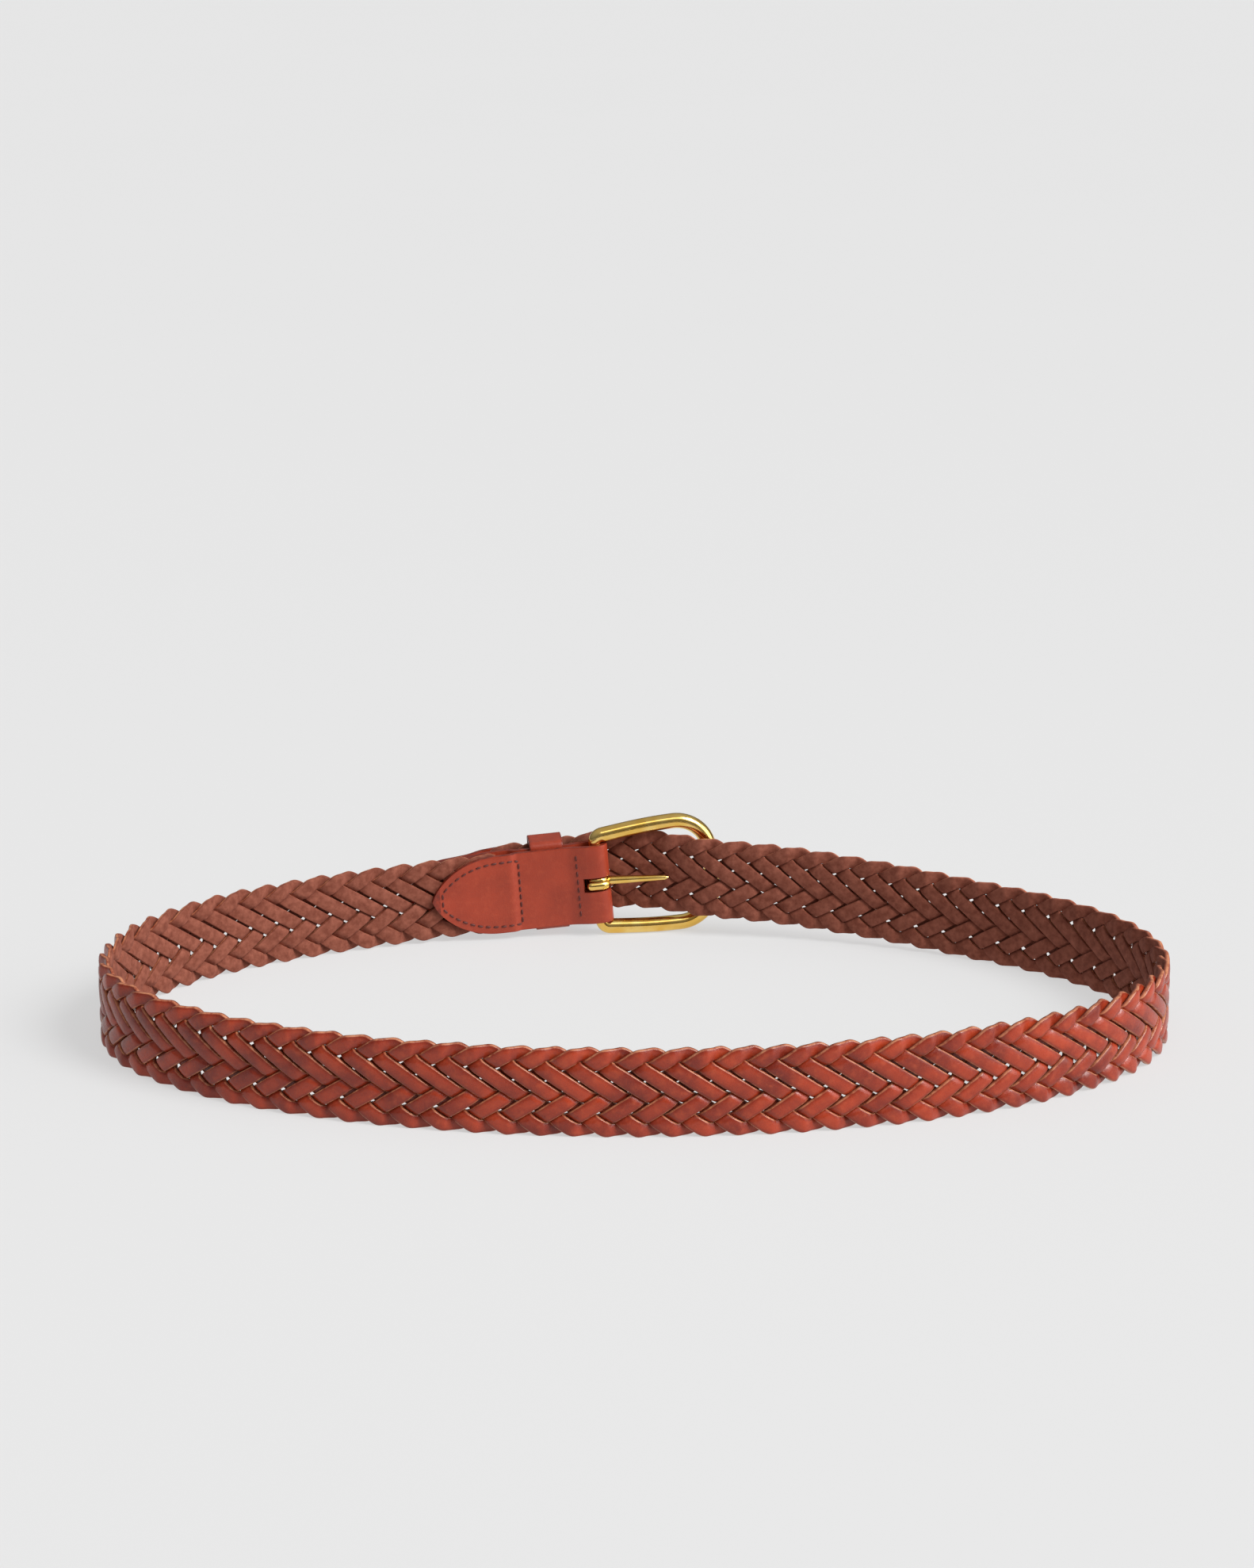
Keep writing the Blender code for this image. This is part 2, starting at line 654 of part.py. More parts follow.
def make_tab_leaf(name, side, material):
    rings = []
    half_leather = TAB_LEATHER / 2
    for spot in tab_runs(TAB_START, TAB_START + TAB_LENGTH):
        half = tab_half_width(spot)
        middle = side * tab_offset(spot)
        section = ((half, half_leather), (-half, half_leather), (-half, -half_leather), (half, -half_leather))
        rings.append([place_free(spot, y, middle + out) for y, out in section])
    bm = bmesh.new()
    loft(bm, rings)
    return make_object(name, bm, material)


def tab_seam_points(side):
    spots = []
    end = TAB_START + TAB_LENGTH - TAB_SEAM_INSET
    for run in tab_runs(TAB_START + TAB_SEAM_INSET, end)[:-1]:
        spots.append((run, max(tab_half_width(run + TAB_SEAM_INSET / 2) - TAB_SEAM_INSET, MM)))
    spots.append((end, 0.0))
    spots += [(run, -y) for run, y in reversed(spots[:-1])]
    lift = TAB_LEATHER / 2 + FIT_GAP / 2 + THREAD_RADIUS
    return [place_free(run, y, side * (tab_offset(run) + lift)) for run, y in spots]


# ---------------------------------------------------------------- the belt

def main():
    for old in list(bpy.data.objects):
        bpy.data.objects.remove(old)
    braid_leather = finish("braid_leather", (0.33, 0.07, 0.035), 0.45)
    smooth_leather = finish("chape_leather", (0.38, 0.07, 0.035), 0.5)
    thread = finish("thread", (0.08, 0.015, 0.012), 0.7)
    brass = finish("brass", (0.8, 0.55, 0.2), 0.2, 1.0)

    for index in range(STRAND_COUNT):
        make_strand(index, braid_leather)
    make_chape(smooth_leather)
    make_keeper(smooth_leather)
    pivot = bpy.data.objects.new("heel_bar_axis", None)
    bpy.context.collection.objects.link(pivot)
    pivot.location = Vector(bar_frame()[0])
    make_frame(brass, pivot)
    make_prong(brass, pivot)
    for name, side in (("inner", -1), ("outer", 1)):
        make_thread(f"bar_seam_{name}_thread", bar_seam_points(side), thread)
        make_thread(f"point_seam_{name}_thread", point_seam_points(side), thread, True)
        make_tab_leaf(f"end_tab_{name}_leaf", side, smooth_leather)
        make_thread(f"end_tab_{name}_thread", tab_seam_points(side), thread)


main()
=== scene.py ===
"""Looks of the braided leather belt: strands, leaves, stitches and brass, with floor, light and camera."""

import math

import bpy
import numpy as np
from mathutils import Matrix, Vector


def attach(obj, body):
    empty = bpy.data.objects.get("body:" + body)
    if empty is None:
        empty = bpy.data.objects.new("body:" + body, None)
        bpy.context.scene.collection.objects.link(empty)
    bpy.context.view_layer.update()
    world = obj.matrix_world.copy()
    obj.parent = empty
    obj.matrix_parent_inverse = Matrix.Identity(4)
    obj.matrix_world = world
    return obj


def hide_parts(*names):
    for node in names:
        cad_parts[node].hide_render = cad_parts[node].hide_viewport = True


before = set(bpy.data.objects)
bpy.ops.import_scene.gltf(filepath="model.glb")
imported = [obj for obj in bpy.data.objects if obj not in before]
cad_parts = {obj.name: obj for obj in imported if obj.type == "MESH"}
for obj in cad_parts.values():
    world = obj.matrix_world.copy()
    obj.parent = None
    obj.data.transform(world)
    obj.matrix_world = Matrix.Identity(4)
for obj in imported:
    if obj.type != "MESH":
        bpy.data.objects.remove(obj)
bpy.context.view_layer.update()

MM = 0.001

# Sizes shared with the CAD part.
LOOP_HALF_WIDTH = 183.0 * MM
LOOP_FRONT_DEPTH = 97.5 * MM
LOOP_BACK_DEPTH = 109.0 * MM
LOOP_MIDDLE_Y = -10.72 * MM
BAR_OFFSET_X = -13.2 * MM
STRAP_WIDTH = 30.0 * MM
STRAND_COUNT = 8
STRAND_SPACING = 0.35667 * STRAP_WIDTH
STRAND_WIDTH = 0.14667 * STRAP_WIDTH
STRAND_THICKNESS = 1.7 * MM
STRAND_GAP = 0.3 * MM
EDGE_TURN_RADIUS = 0.26667 * STRAP_WIDTH
LEATHER = 1.8 * MM
FIT_GAP = 0.3 * MM
CHAPE_WIDTH = 30.0 * MM
CHAPE_LENGTH = 63.0 * MM
POINT_LENGTH = 26.0 * MM
BRAID_START = 34.5 * MM
BAR_SEAM = 7.6 * MM
POINT_SEAM = 29.4 * MM
POCKET_START = 30.6 * MM
SEAM_INSET = 2.6 * MM
THREAD_RADIUS = 0.35 * MM
BAR_RADIUS = 2.4 * MM
ARM_RADIUS = 2.85 * MM
HEEL_HALF_HEIGHT = 17.9 * MM
FAR_HALF_HEIGHT = 19.88 * MM
FRAME_LENGTH = 42.7 * MM
FRAME_CORNER = 13.0 * MM
HEEL_ROUND = 3.0 * MM
FRAME_TILT = math.radians(5.6)
FRAME_LIFT = 20.6 * MM
PRONG_EYE_WALL = 1.7 * MM
PRONG_EYE_WIDTH = 4.6 * MM
PRONG_REACH = 26.5 * MM
PRONG_ROOT_RADIUS = 1.7 * MM
PRONG_TIP_RADIUS = 0.9 * MM
PRONG_ANGLE = math.radians(-9.0)
RUNNING_GAP = 0.35 * MM
KEEPER_WIDTH = 12.6 * MM
KEEPER_MIDDLE = 18.2 * MM
KEEPER_LEATHER = 1.2 * MM
KEEPER_CLEARANCE = 0.9 * MM
KEEPER_LIFT = 0.2 * MM
KEEPER_EASE = 0.3 * MM  # room for the swell of the strands
TAIL_GAP = 2.5 * MM
TAB_GAP = 1.75 * MM
TAIL_LIFT = 0.3 * MM
TAIL_DROOP = 2.4 * MM
TAIL_DROOP_START = 28.0 * MM
TAIL_DROOP_REACH = 34.0 * MM
BRAID_TAIL = 38.0 * MM
TAB_START = 28.0 * MM
TAB_LENGTH = 42.0 * MM
TAB_WIDTH = 27.0 * MM
TAB_LEATHER = 1.5 * MM
TAB_ROUND = 16.0 * MM
LIFT_REACH = 125.0 * MM
FREE_LIFT = 8.6 * MM
FREE_LIFT_REACH = 150.0 * MM
SLOT_END = 4.9 * MM

# Where the strap's free end leaves the inside of the loop, crosses the frame and comes to lie on the chape.
INSIDE_START = 82.0 * MM
INSIDE_REACH = 36.0 * MM
CROSSING_EARLY = 1.5 * MM
CROSSING_REACH = 34.0 * MM
SPREAD_REACH = 42.0 * MM
RISE_STOP = 12.0 * MM
SETTLE_START = 10.0 * MM
SETTLE_REACH = 30.0 * MM

BAR_LIFT = FRAME_LIFT - CHAPE_WIDTH / 2
BAR_ROLL = math.atan(2 * BAR_LIFT / LIFT_REACH)
SLOT_HALF = PRONG_EYE_WIDTH / 2 + RUNNING_GAP
HALF_WIDTH = STRAP_WIDTH / 2
LAYER = (STRAND_THICKNESS + STRAND_GAP) / 2
BRAID_HALF = STRAND_THICKNESS + STRAND_GAP / 2
TAIL_OFFSET = KEEPER_LEATHER / 2 + FIT_GAP + LEATHER + TAIL_GAP + BRAID_HALF
PAST_CHAPE = 2 * BRAID_HALF + 2 * FIT_GAP + LEATHER + TAB_LEATHER + TAB_GAP
TAIL_SPREAD = PAST_CHAPE - TAIL_OFFSET
PERIOD = STRAND_COUNT * STRAND_SPACING


# ---------------------------------------------------------------- edge of the braid

def slope_angle():
    """Slope of the strands that lets their rounded turns just reach the strap's edges."""
    low, high = math.radians(10), math.radians(60)
    for _ in range(60):
        angle = (low + high) / 2
        peak = PERIOD * math.tan(angle) / 4 - EDGE_TURN_RADIUS * (1 / math.cos(angle) - 1)
        if peak + STRAND_WIDTH / 2 > HALF_WIDTH:
            high = angle
        else:
            low = angle
    return low


SLOPE = slope_angle()
SHARP_PEAK = PERIOD * math.tan(SLOPE) / 4


def edge_height(x, side):
    """Height of one edge of a strand, side +1 or -1, near a peak at x = 0."""
    x = np.asarray(x, float)
    radius = EDGE_TURN_RADIUS + side * STRAND_WIDTH / 2
    centre = SHARP_PEAK - EDGE_TURN_RADIUS / math.cos(SLOPE)
    reach = radius * math.sin(SLOPE)
    arc = centre + np.sqrt(np.maximum(radius * radius - x * x, 0))
    line = SHARP_PEAK - np.abs(x) * math.tan(SLOPE) + side * STRAND_WIDTH / 2 / math.cos(SLOPE)
    return np.where(np.abs(x) <= reach, arc, line)


def turn_corner():
    """Distance from a turn at which a strand's inner edge meets its neighbour's outer edge."""
    low, high = 0.0, STRAND_SPACING / 2
    for _ in range(50):
        x = (low + high) / 2
        if edge_height(x, -1) > edge_height(x - STRAND_SPACING, 1):
            low = x
        else:
            high = x
    return low


CORNER = turn_corner()
EDGE_FLAT = float(edge_height(CORNER, 1))
SQUEEZE = EDGE_FLAT / HALF_WIDTH  # keeps the rounded turns on the floor


def strand_height(x, side):
    """Height of a strand's edge anywhere along its zigzag."""
    x = (np.asarray(x, float) + PERIOD / 4) % PERIOD - PERIOD / 4
    low = x > PERIOD / 4
    turned = np.where(low, x - PERIOD / 2, x)
    high_side = edge_height(turned, side)
    low_side = -edge_height(turned, -side)
    return np.where(low, low_side, high_side)


# ---------------------------------------------------------------- centre line of the loop

def smooth(t):
    """Eases from 0 to 1 as t does."""
    t = np.clip(t, 0.0, 1.0)
    return t * t * (3 - 2 * t)


START_ANGLE = math.acos(BAR_OFFSET_X / LOOP_HALF_WIDTH)
ANGLES = np.linspace(START_ANGLE, START_ANGLE + 2 * math.pi, 2401)
DEPTHS = np.where(np.sin(ANGLES) > 0, LOOP_BACK_DEPTH, LOOP_FRONT_DEPTH)
OVAL = np.column_stack([LOOP_HALF_WIDTH * np.cos(ANGLES), LOOP_MIDDLE_Y + DEPTHS * np.sin(ANGLES)])
OVAL_LENGTHS = np.concatenate([[0.0], np.cumsum(np.hypot(*np.diff(OVAL, axis=0).T))])
LOOP_LENGTH = OVAL_LENGTHS[-1]


def oval_at(run):
    run = np.asarray(run, float) % LOOP_LENGTH
    return np.stack([np.interp(run, OVAL_LENGTHS, OVAL[:, i]) for i in (0, 1)], axis=-1)


def base_point(run):
    """Point and outward direction at a distance leftwards from the heel bar."""
    along = oval_at(np.asarray(run) + 0.5 * MM) - oval_at(np.asarray(run) - 0.5 * MM)
    along /= np.linalg.norm(along, axis=-1, keepdims=True)
    return oval_at(run), np.stack([along[..., 1], -along[..., 0]], axis=-1)


def chape_lift(run):
    return BAR_LIFT * np.maximum(0.0, 1 - np.maximum(run, -LIFT_REACH) / LIFT_REACH) ** 2


def strap_offset(run):
    free = run - LOOP_LENGTH
    through = math.sin(FRAME_TILT) * FRAME_LENGTH - ARM_RADIUS - BRAID_HALF - 2 * RUNNING_GAP
    inside = through * smooth((free + INSIDE_START) / INSIDE_REACH)
    rise = smooth((free + FRAME_LENGTH + CROSSING_EARLY) / CROSSING_REACH)
    crossing = through + (TAIL_OFFSET - through) * rise
    beyond = TAIL_OFFSET + TAIL_SPREAD * smooth(free / SPREAD_REACH)
    return np.where(free < -FRAME_LENGTH - 3 * MM, inside, np.where(free < 0, crossing, beyond))


def strap_lift(run):
    free = run - LOOP_LENGTH
    rising = FREE_LIFT * (1 - smooth((-free - RISE_STOP) / FREE_LIFT_REACH))
    droop = TAIL_DROOP * smooth((free - TAIL_DROOP_START) / TAIL_DROOP_REACH)
    beside = chape_lift(free) + TAIL_LIFT - droop
    past = FREE_LIFT + (beside - FREE_LIFT) * smooth((free + SETTLE_START) / SETTLE_REACH)
    return np.where(free < -0.5 * LOOP_LENGTH, chape_lift(run), np.where(free < -SETTLE_START, rising, past))


RUNS = np.arange(0.0, LOOP_LENGTH + 130 * MM, 1.0 * MM)
SPOTS, OUTWARDS = base_point(RUNS)
PLAN = SPOTS + OUTWARDS * strap_offset(RUNS)[:, None]
STRAP_LINE = np.column_stack([PLAN, strap_lift(RUNS) + EDGE_FLAT])
STRAP_LENGTHS = np.concatenate([[0.0], np.cumsum(np.linalg.norm(np.diff(STRAP_LINE, axis=0), axis=1))])
BRAID_FIRST = float(np.interp(BRAID_START, RUNS, STRAP_LENGTHS))
BRAID_LAST = float(np.interp(LOOP_LENGTH + BRAID_TAIL, RUNS, STRAP_LENGTHS))


def line_at(length):
    return np.stack([np.interp(length, STRAP_LENGTHS, STRAP_LINE[:, i]) for i in range(3)], axis=-1)


def place(length, across, out):
    """World points of the strap: length along it, across its width, out from its middle."""
    along = line_at(length + 2 * MM) - line_at(length - 2 * MM)
    along /= np.linalg.norm(along, axis=-1, keepdims=True)
    outward = np.stack([along[..., 1], -along[..., 0], np.zeros_like(along[..., 0])], axis=-1)
    outward /= np.linalg.norm(outward, axis=-1, keepdims=True)
    up = np.cross(outward, along)
    return line_at(length) + up * np.asarray(across)[..., None] + outward * np.asarray(out)[..., None]


def place_free(past_bar, across, out):
    return place(np.interp(LOOP_LENGTH + past_bar, RUNS, STRAP_LENGTHS), across, out)


# ---------------------------------------------------------------- materials

CLOUD_SIZE = 12.5 * MM  # slow change of the dye
MOTTLE_SIZE = 2.381 * MM  # blotches of dye and rubbed spots
GRAIN_SIZE = 0.3846 * MM  # hair-cell grain, coarser than the real one so that it shows
PORE_SIZE = 0.6667 * MM  # pores between the grain, coarser than the real ones for the same reason
FIBRE_SIZE = 0.3333 * MM  # fibres of the thread, as coarse as they need to be to show
TARNISH_SIZE = 6.25 * MM  # slow change of the brass
SCRATCH_LENGTH = 3.333 * MM  # polishing lines, drawn coarser than they are
SCRATCH_PITCH = 0.1923 * MM
COLOUR_A, COLOUR_B, COLOUR_OUT = 6, 7, 2  # sockets of a mix node that has colours


def linear(hex_colour):
    values = [int(hex_colour[i:i + 2], 16) / 255 for i in (0, 2, 4)]
    return [v / 12.92 if v <= 0.04045 else ((v + 0.055) / 1.055) ** 2.4 for v in values] + [1.0]


def fill(tree, node, inputs):
    """Fills a node's inputs with values or links."""
    for key, value in inputs.items():
        if isinstance(value, bpy.types.NodeSocket):
            tree.links.new(value, node.inputs[key])
        else:
            node.inputs[key].default_value = value


def add(tree, kind, inputs, output, **settings):
    """Adds a node with its settings and inputs, and gives the output that is wanted."""
    node = tree.nodes.new(kind)
    for key, value in settings.items():
        setattr(node, key, value)
    fill(tree, node, inputs)
    return node.outputs[output]


def new_material(name):
    material = bpy.data.materials.new(name)
    material.use_nodes = True
    tree = material.node_tree
    return material, tree, tree.nodes["Principled BSDF"]


def leather(name, grain, deep_and_shade, pale, flesh, flesh_pale, cut, roughness):
    """Dyed cowhide: a mottled grain face with a soft shine, a dull fibrous flesh face, and cut edges.

    It reads the piece's own attributes: face is 1 on the grain side and below 0 on the flesh side, across
    grows to 1 at an edge, and crease is 1 in the fold of a turn; folds and edge bands get painted shade.
    """
    material, tree, shader = new_material(name)
    where = add(tree, "ShaderNodeTexCoord", {}, "Object")
    face, across, crease = [add(tree, "ShaderNodeAttribute", {}, "Fac", attribute_name=attribute)
                            for attribute in ("face", "across", "crease")]
    cloud, mottled, fine = [
        add(tree, "ShaderNodeTexNoise",
            {"Vector": where, "Scale": 1 / size, "Detail": detail, "Roughness": rough}, "Fac")
        for size, detail, rough in ((CLOUD_SIZE, 3.0, 0.5), (MOTTLE_SIZE, 4.0, 0.6), (GRAIN_SIZE, 3.0, 0.6))]
    dyed, faded, painted_edge_shade, near_edge, rubbed, fibrous, outer, gloss = [
        add(tree, "ShaderNodeMapRange", {"Value": source, "From Min": low, "From Max": high,
                                         "To Min": first, "To Max": last}, "Result")
        for source, low, high, first, last in (
            (cloud, 0.28, 0.64, 0.0, 1.0),
            (mottled, 0.5, 0.85, 0.0, 0.55),
            # Painted shade: the band along each edge is mixed towards the deep tone, darkening the gaps
            # between strands and a smooth piece's rim.
            (across, 0.5, 0.86, 0.0, 0.6),
            (across, 0.84, 0.97, 0.0, 1.0),
            (mottled, 0.35, 0.6, 0.1, 0.7),
            (mottled, 0.35, 0.75, 0.0, 1.0),
            (face, -0.45, 0.1, 0.0, 1.0),
            (mottled, 0.3, 0.7, roughness - 0.06, roughness + 0.1))]
    # Painted shade: the fold of each edge turn is mixed up to 0.6 of the way towards the deep tone.
    painted_crease_shade, bared = [add(tree, "ShaderNodeMath", {0: one, 1: two}, "Value", operation="MULTIPLY")
                      for one, two in ((crease, 0.6), (near_edge, rubbed))]
    # The deep tone is both the dye's darkest tone and the colour of the painted shade in folds and along
    # edges.
    tone = linear(deep_and_shade)
    for share, colour in ((dyed, grain), (faded, pale), (painted_crease_shade, deep_and_shade), (painted_edge_shade, deep_and_shade), (bared, cut)):
        tone = add(tree, "ShaderNodeMix", {0: share, COLOUR_A: tone, COLOUR_B: linear(colour)},
                   COLOUR_OUT, data_type="RGBA")
    raw = add(tree, "ShaderNodeMix", {0: fibrous, COLOUR_A: linear(flesh), COLOUR_B: linear(flesh_pale)},
              COLOUR_OUT, data_type="RGBA")
    colour = add(tree, "ShaderNodeMix", {0: outer, COLOUR_A: raw, COLOUR_B: tone},
                 COLOUR_OUT, data_type="RGBA")
    rough = add(tree, "ShaderNodeMix", {"Factor": outer, "A": 0.86, "B": gloss}, "Result", data_type="FLOAT")
    pores = add(tree, "ShaderNodeTexVoronoi", {"Vector": where, "Scale": 1 / PORE_SIZE, "Randomness": 1.0},
                "Distance")
    relief = {}
    for height, depth, strength in ((pores, 0.06, 0.35), (fine, 0.05, 0.5), (mottled, 0.18, 0.6)):
        relief["Normal"] = add(tree, "ShaderNodeBump", {"Height": height, "Distance": depth * MM,
                                                        "Strength": strength, **relief}, "Normal")
    fill(tree, shader, {"Base Color": colour, "Roughness": rough, "Specular IOR Level": 0.42, **relief})
    return material


# Soft strap leather with a low shine, rubbed pale where its edges were cut; painted shade in folds and along
# edges.
BRAID_LEATHER = leather("cognac_strap_leather", grain="A63A1E", deep_and_shade="712215", pale="BC5432", flesh="6E3422",
                        flesh_pale="925340", cut="D8946C", roughness=0.28)
# Flatter, firmer leather, duller than the braid, with dark burnished edges and a little painted shade at the
# rim.
SMOOTH_LEATHER = leather("red_tan_bridle_leather", grain="A03A22", deep_and_shade="90331E", pale="AE4A2F",
                         flesh="6E3422", flesh_pale="925340", cut="4F1A12", roughness=0.38)


def thread_material():
    """Waxed thread: dark, with uneven fibres and a dull shine."""
    material, tree, shader = new_material("waxed_brown_thread")
    where = add(tree, "ShaderNodeTexCoord", {}, "Object")
    shade = add(tree, "ShaderNodeTexNoise",
                {"Vector": where, "Scale": 1 / FIBRE_SIZE, "Detail": 2.0, "Roughness": 0.5}, "Fac")
    colour = add(tree, "ShaderNodeMix", {0: shade, COLOUR_A: linear("431511"), COLOUR_B: linear("6B2A20")},
                 COLOUR_OUT, data_type="RGBA")
    normal = add(tree, "ShaderNodeBump", {"Height": shade, "Distance": 0.08 * MM, "Strength": 0.6}, "Normal")
    fill(tree, shader, {"Base Color": colour, "Roughness": 0.6, "Normal": normal})
    return material


def brass_material():
    """Polished yellow brass: sharp reflections, a little cloudy, with faint polishing lines."""
    material, tree, shader = new_material("polished_yellow_brass")
    where = add(tree, "ShaderNodeTexCoord", {}, "Object")
    squeeze = (1 / SCRATCH_LENGTH, 1 / SCRATCH_LENGTH, 1 / SCRATCH_PITCH)
    lengthened = add(tree, "ShaderNodeMapping", {"Vector": where, "Scale": squeeze}, "Vector")
    cloud, scratches = [
        add(tree, "ShaderNodeTexNoise",
            {"Vector": spot, "Scale": scale, "Detail": detail, "Roughness": 0.5}, "Fac")
        for spot, scale, detail in ((where, 1 / TARNISH_SIZE, 2.0), (lengthened, 1.0, 3.0))]
    bright, rough = [
        add(tree, "ShaderNodeMapRange", {"Value": cloud, "From Min": low, "From Max": 0.7,
                                         "To Min": first, "To Max": last}, "Result")
        for low, first, last in ((0.35, 0.0, 1.0), (0.3, 0.14, 0.19))]
    colour = add(tree, "ShaderNodeMix", {0: bright, COLOUR_A: linear("EDBE5C"), COLOUR_B: linear("F7D582")},
                 COLOUR_OUT, data_type="RGBA")
    normal = add(tree, "ShaderNodeBump",
                 {"Height": scratches, "Distance": 0.006 * MM, "Strength": 0.15}, "Normal")
    fill(tree, shader, {"Base Color": colour, "Metallic": 1.0, "Roughness": rough, "Normal": normal})
    return material


THREAD = thread_material()
BRASS = brass_material()


# ---------------------------------------------------------------- helpers

def activate(piece):
    bpy.ops.object.select_all(action="DESELECT")
    piece.select_set(True)
    bpy.context.view_layer.objects.active = piece


def settle(piece, name, material, body, node):
    """Names a piece, gives it its finish and lets it ride on its body."""
    piece.name = name
    piece.data.name = name
    piece.data.materials.clear()
    piece.data.materials.append(material)
    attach(piece, body)
    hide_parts(node)


def give(mesh, name, values):
    """Stores one number a vertex for the material to read."""
    made = mesh.attributes.new(name, "FLOAT", "POINT")
    made.data.foreach_set("value", np.asarray(values, np.float32))


def clean(piece, smooth_under, merge=None):
    """Merges doubles, turns all faces outwards, and shades smooth under an angle in degrees."""
    activate(piece)
    bpy.ops.object.mode_set(mode="EDIT")
    bpy.ops.mesh.select_all(action="SELECT")
    if merge is not None:
        bpy.ops.mesh.remove_doubles(threshold=merge)
    bpy.ops.mesh.normals_make_consistent(inside=False)
    bpy.ops.object.mode_set(mode="OBJECT")
    bpy.ops.object.shade_smooth_by_angle(angle=math.radians(smooth_under))


def apply_modifiers(piece):
    activate(piece)
    for modifier in list(piece.modifiers):
        bpy.ops.object.modifier_apply(modifier=modifier.name)


# ---------------------------------------------------------------- braid

OVER = {1: False, 2: True, 3: True, 4: True, 5: False, 6: False, 7: True}
CROWN = 0.26 * MM  # rise of a strand's face at its middle
BULGE = 0.25 * MM  # how far a float stands out at its middle
STEEP_BEND = 1.7 * MM  # half length of a strand's bend between its floats
EDGE_BEND = 3.4 * MM  # the same where it turns at the edge
CREASE = 0.14 * MM  # dent at the inside of an edge turn
SWELL = 0.40 * MM  # soft leather spreads this far past the rigid strand's edges
OUTER_ROUNDING = 0.5 * MM  # the grain side's edges are rounder than the flesh side's
INNER_ROUNDING = 0.3 * MM
TURNS = range(-2, 14)  # more of the braid's periods than the strap holds


def crossing_x(level, before, side):
    near = -1 if before else 1
    return level * STRAND_SPACING / 2 + (side + near) * STRAND_WIDTH / (4 * math.sin(SLOPE))


def half_knots():
    """Knots of a falling strand: (x of its upper edge, x of its lower edge, layer)."""
    knots = [(CORNER, CORNER, -LAYER), (STRAND_SPACING - CORNER, crossing_x(1, False, -1), -LAYER)]
    for level in range(2, STRAND_COUNT - 1):
        layer = LAYER if OVER[level] else -LAYER
        if OVER[level] != OVER[level - 1]:
            knots.append((crossing_x(level, True, 1), crossing_x(level, True, -1), layer))
        if OVER[level] != OVER[level + 1]:
            knots.append((crossing_x(level, False, 1), crossing_x(level, False, -1), layer))
    knots.append((PERIOD / 2 - crossing_x(1, False, -1), PERIOD / 2 - STRAND_SPACING + CORNER, LAYER))
    knots.append((PERIOD / 2 - CORNER, PERIOD / 2 - CORNER, LAYER))
    return knots


def raw_layer(x, knots):
    return np.interp(x % PERIOD, knots[:, 0], knots[:, 1])


def period_stations():
    """Dense stations over one period: upper x, lower x, out from the strap's middle, swell of a float."""
    falling = half_knots()
    rising = [(PERIOD - upper, PERIOD - lower, -layer) for upper, lower, layer in reversed(falling)]
    knots = falling + rising
    first, last = knots[0], knots[-1]
    middles = [((upper + lower) / 2, layer) for upper, lower, layer in knots]
    around = np.array([(middles[-1][0] - PERIOD, last[2])] + middles + [(middles[0][0] + PERIOD, first[2])])
    knots.append((first[0] + PERIOD, first[1] + PERIOD, first[2]))
    step = 0.7 * MM
    rows = []
    for (ua, la, fa), (ub, lb, fb) in zip(knots, knots[1:]):
        count = max(6, math.ceil((ub + lb - ua - la) / 2 / step))
        for k in range(count):
            t = k / count
            swell = math.sin(math.pi * t) ** 0.7 if fa == fb else 0.0
            rows.append((ua + (ub - ua) * t, la + (lb - la) * t, 0.0, swell))
    rows = np.array(rows)
    middle = rows[:, :2].mean(axis=1)
    off_turn = np.abs((middle + PERIOD / 4) % (PERIOD / 2) - PERIOD / 4)
    reach = STEEP_BEND + (EDGE_BEND - STEEP_BEND) * (1 - smooth(off_turn / (5 * MM)))
    spread = np.linspace(-1, 1, 21)
    weights = np.cos(spread * math.pi / 2) ** 2
    near = raw_layer(middle[:, None] + reach[:, None] * spread, around)
    layer = (near * weights).sum(axis=1) / weights.sum()
    rows[:, 2] = layer + np.sign(layer) * BULGE * rows[:, 3]
    return rows


def strand_profile():
    """Section of a strand: (share across, out from its middle), outer face first."""
    half = STRAND_THICKNESS / 2
    edge = STRAND_WIDTH / 2
    points = []
    for sign_u, sign_v, start, radius in ((1, 1, 0, OUTER_ROUNDING), (-1, 1, 90, OUTER_ROUNDING),
                                          (-1, -1, 180, INNER_ROUNDING), (1, -1, 270, INNER_ROUNDING)):
        for k in range(4):
            turn = math.radians(start + 30 * k)
            points.append((sign_u * (edge - radius) + radius * math.cos(turn),
                           sign_v * (half - radius) + radius * math.sin(turn)))
        if sign_v * sign_u > 0:
            for share in (0.55, 0.0, -0.55):
                points.append((sign_u * edge * share, sign_v * (half + CROWN * (1 - share * share))))
    return np.array([(u / edge, v) for u, v in points])


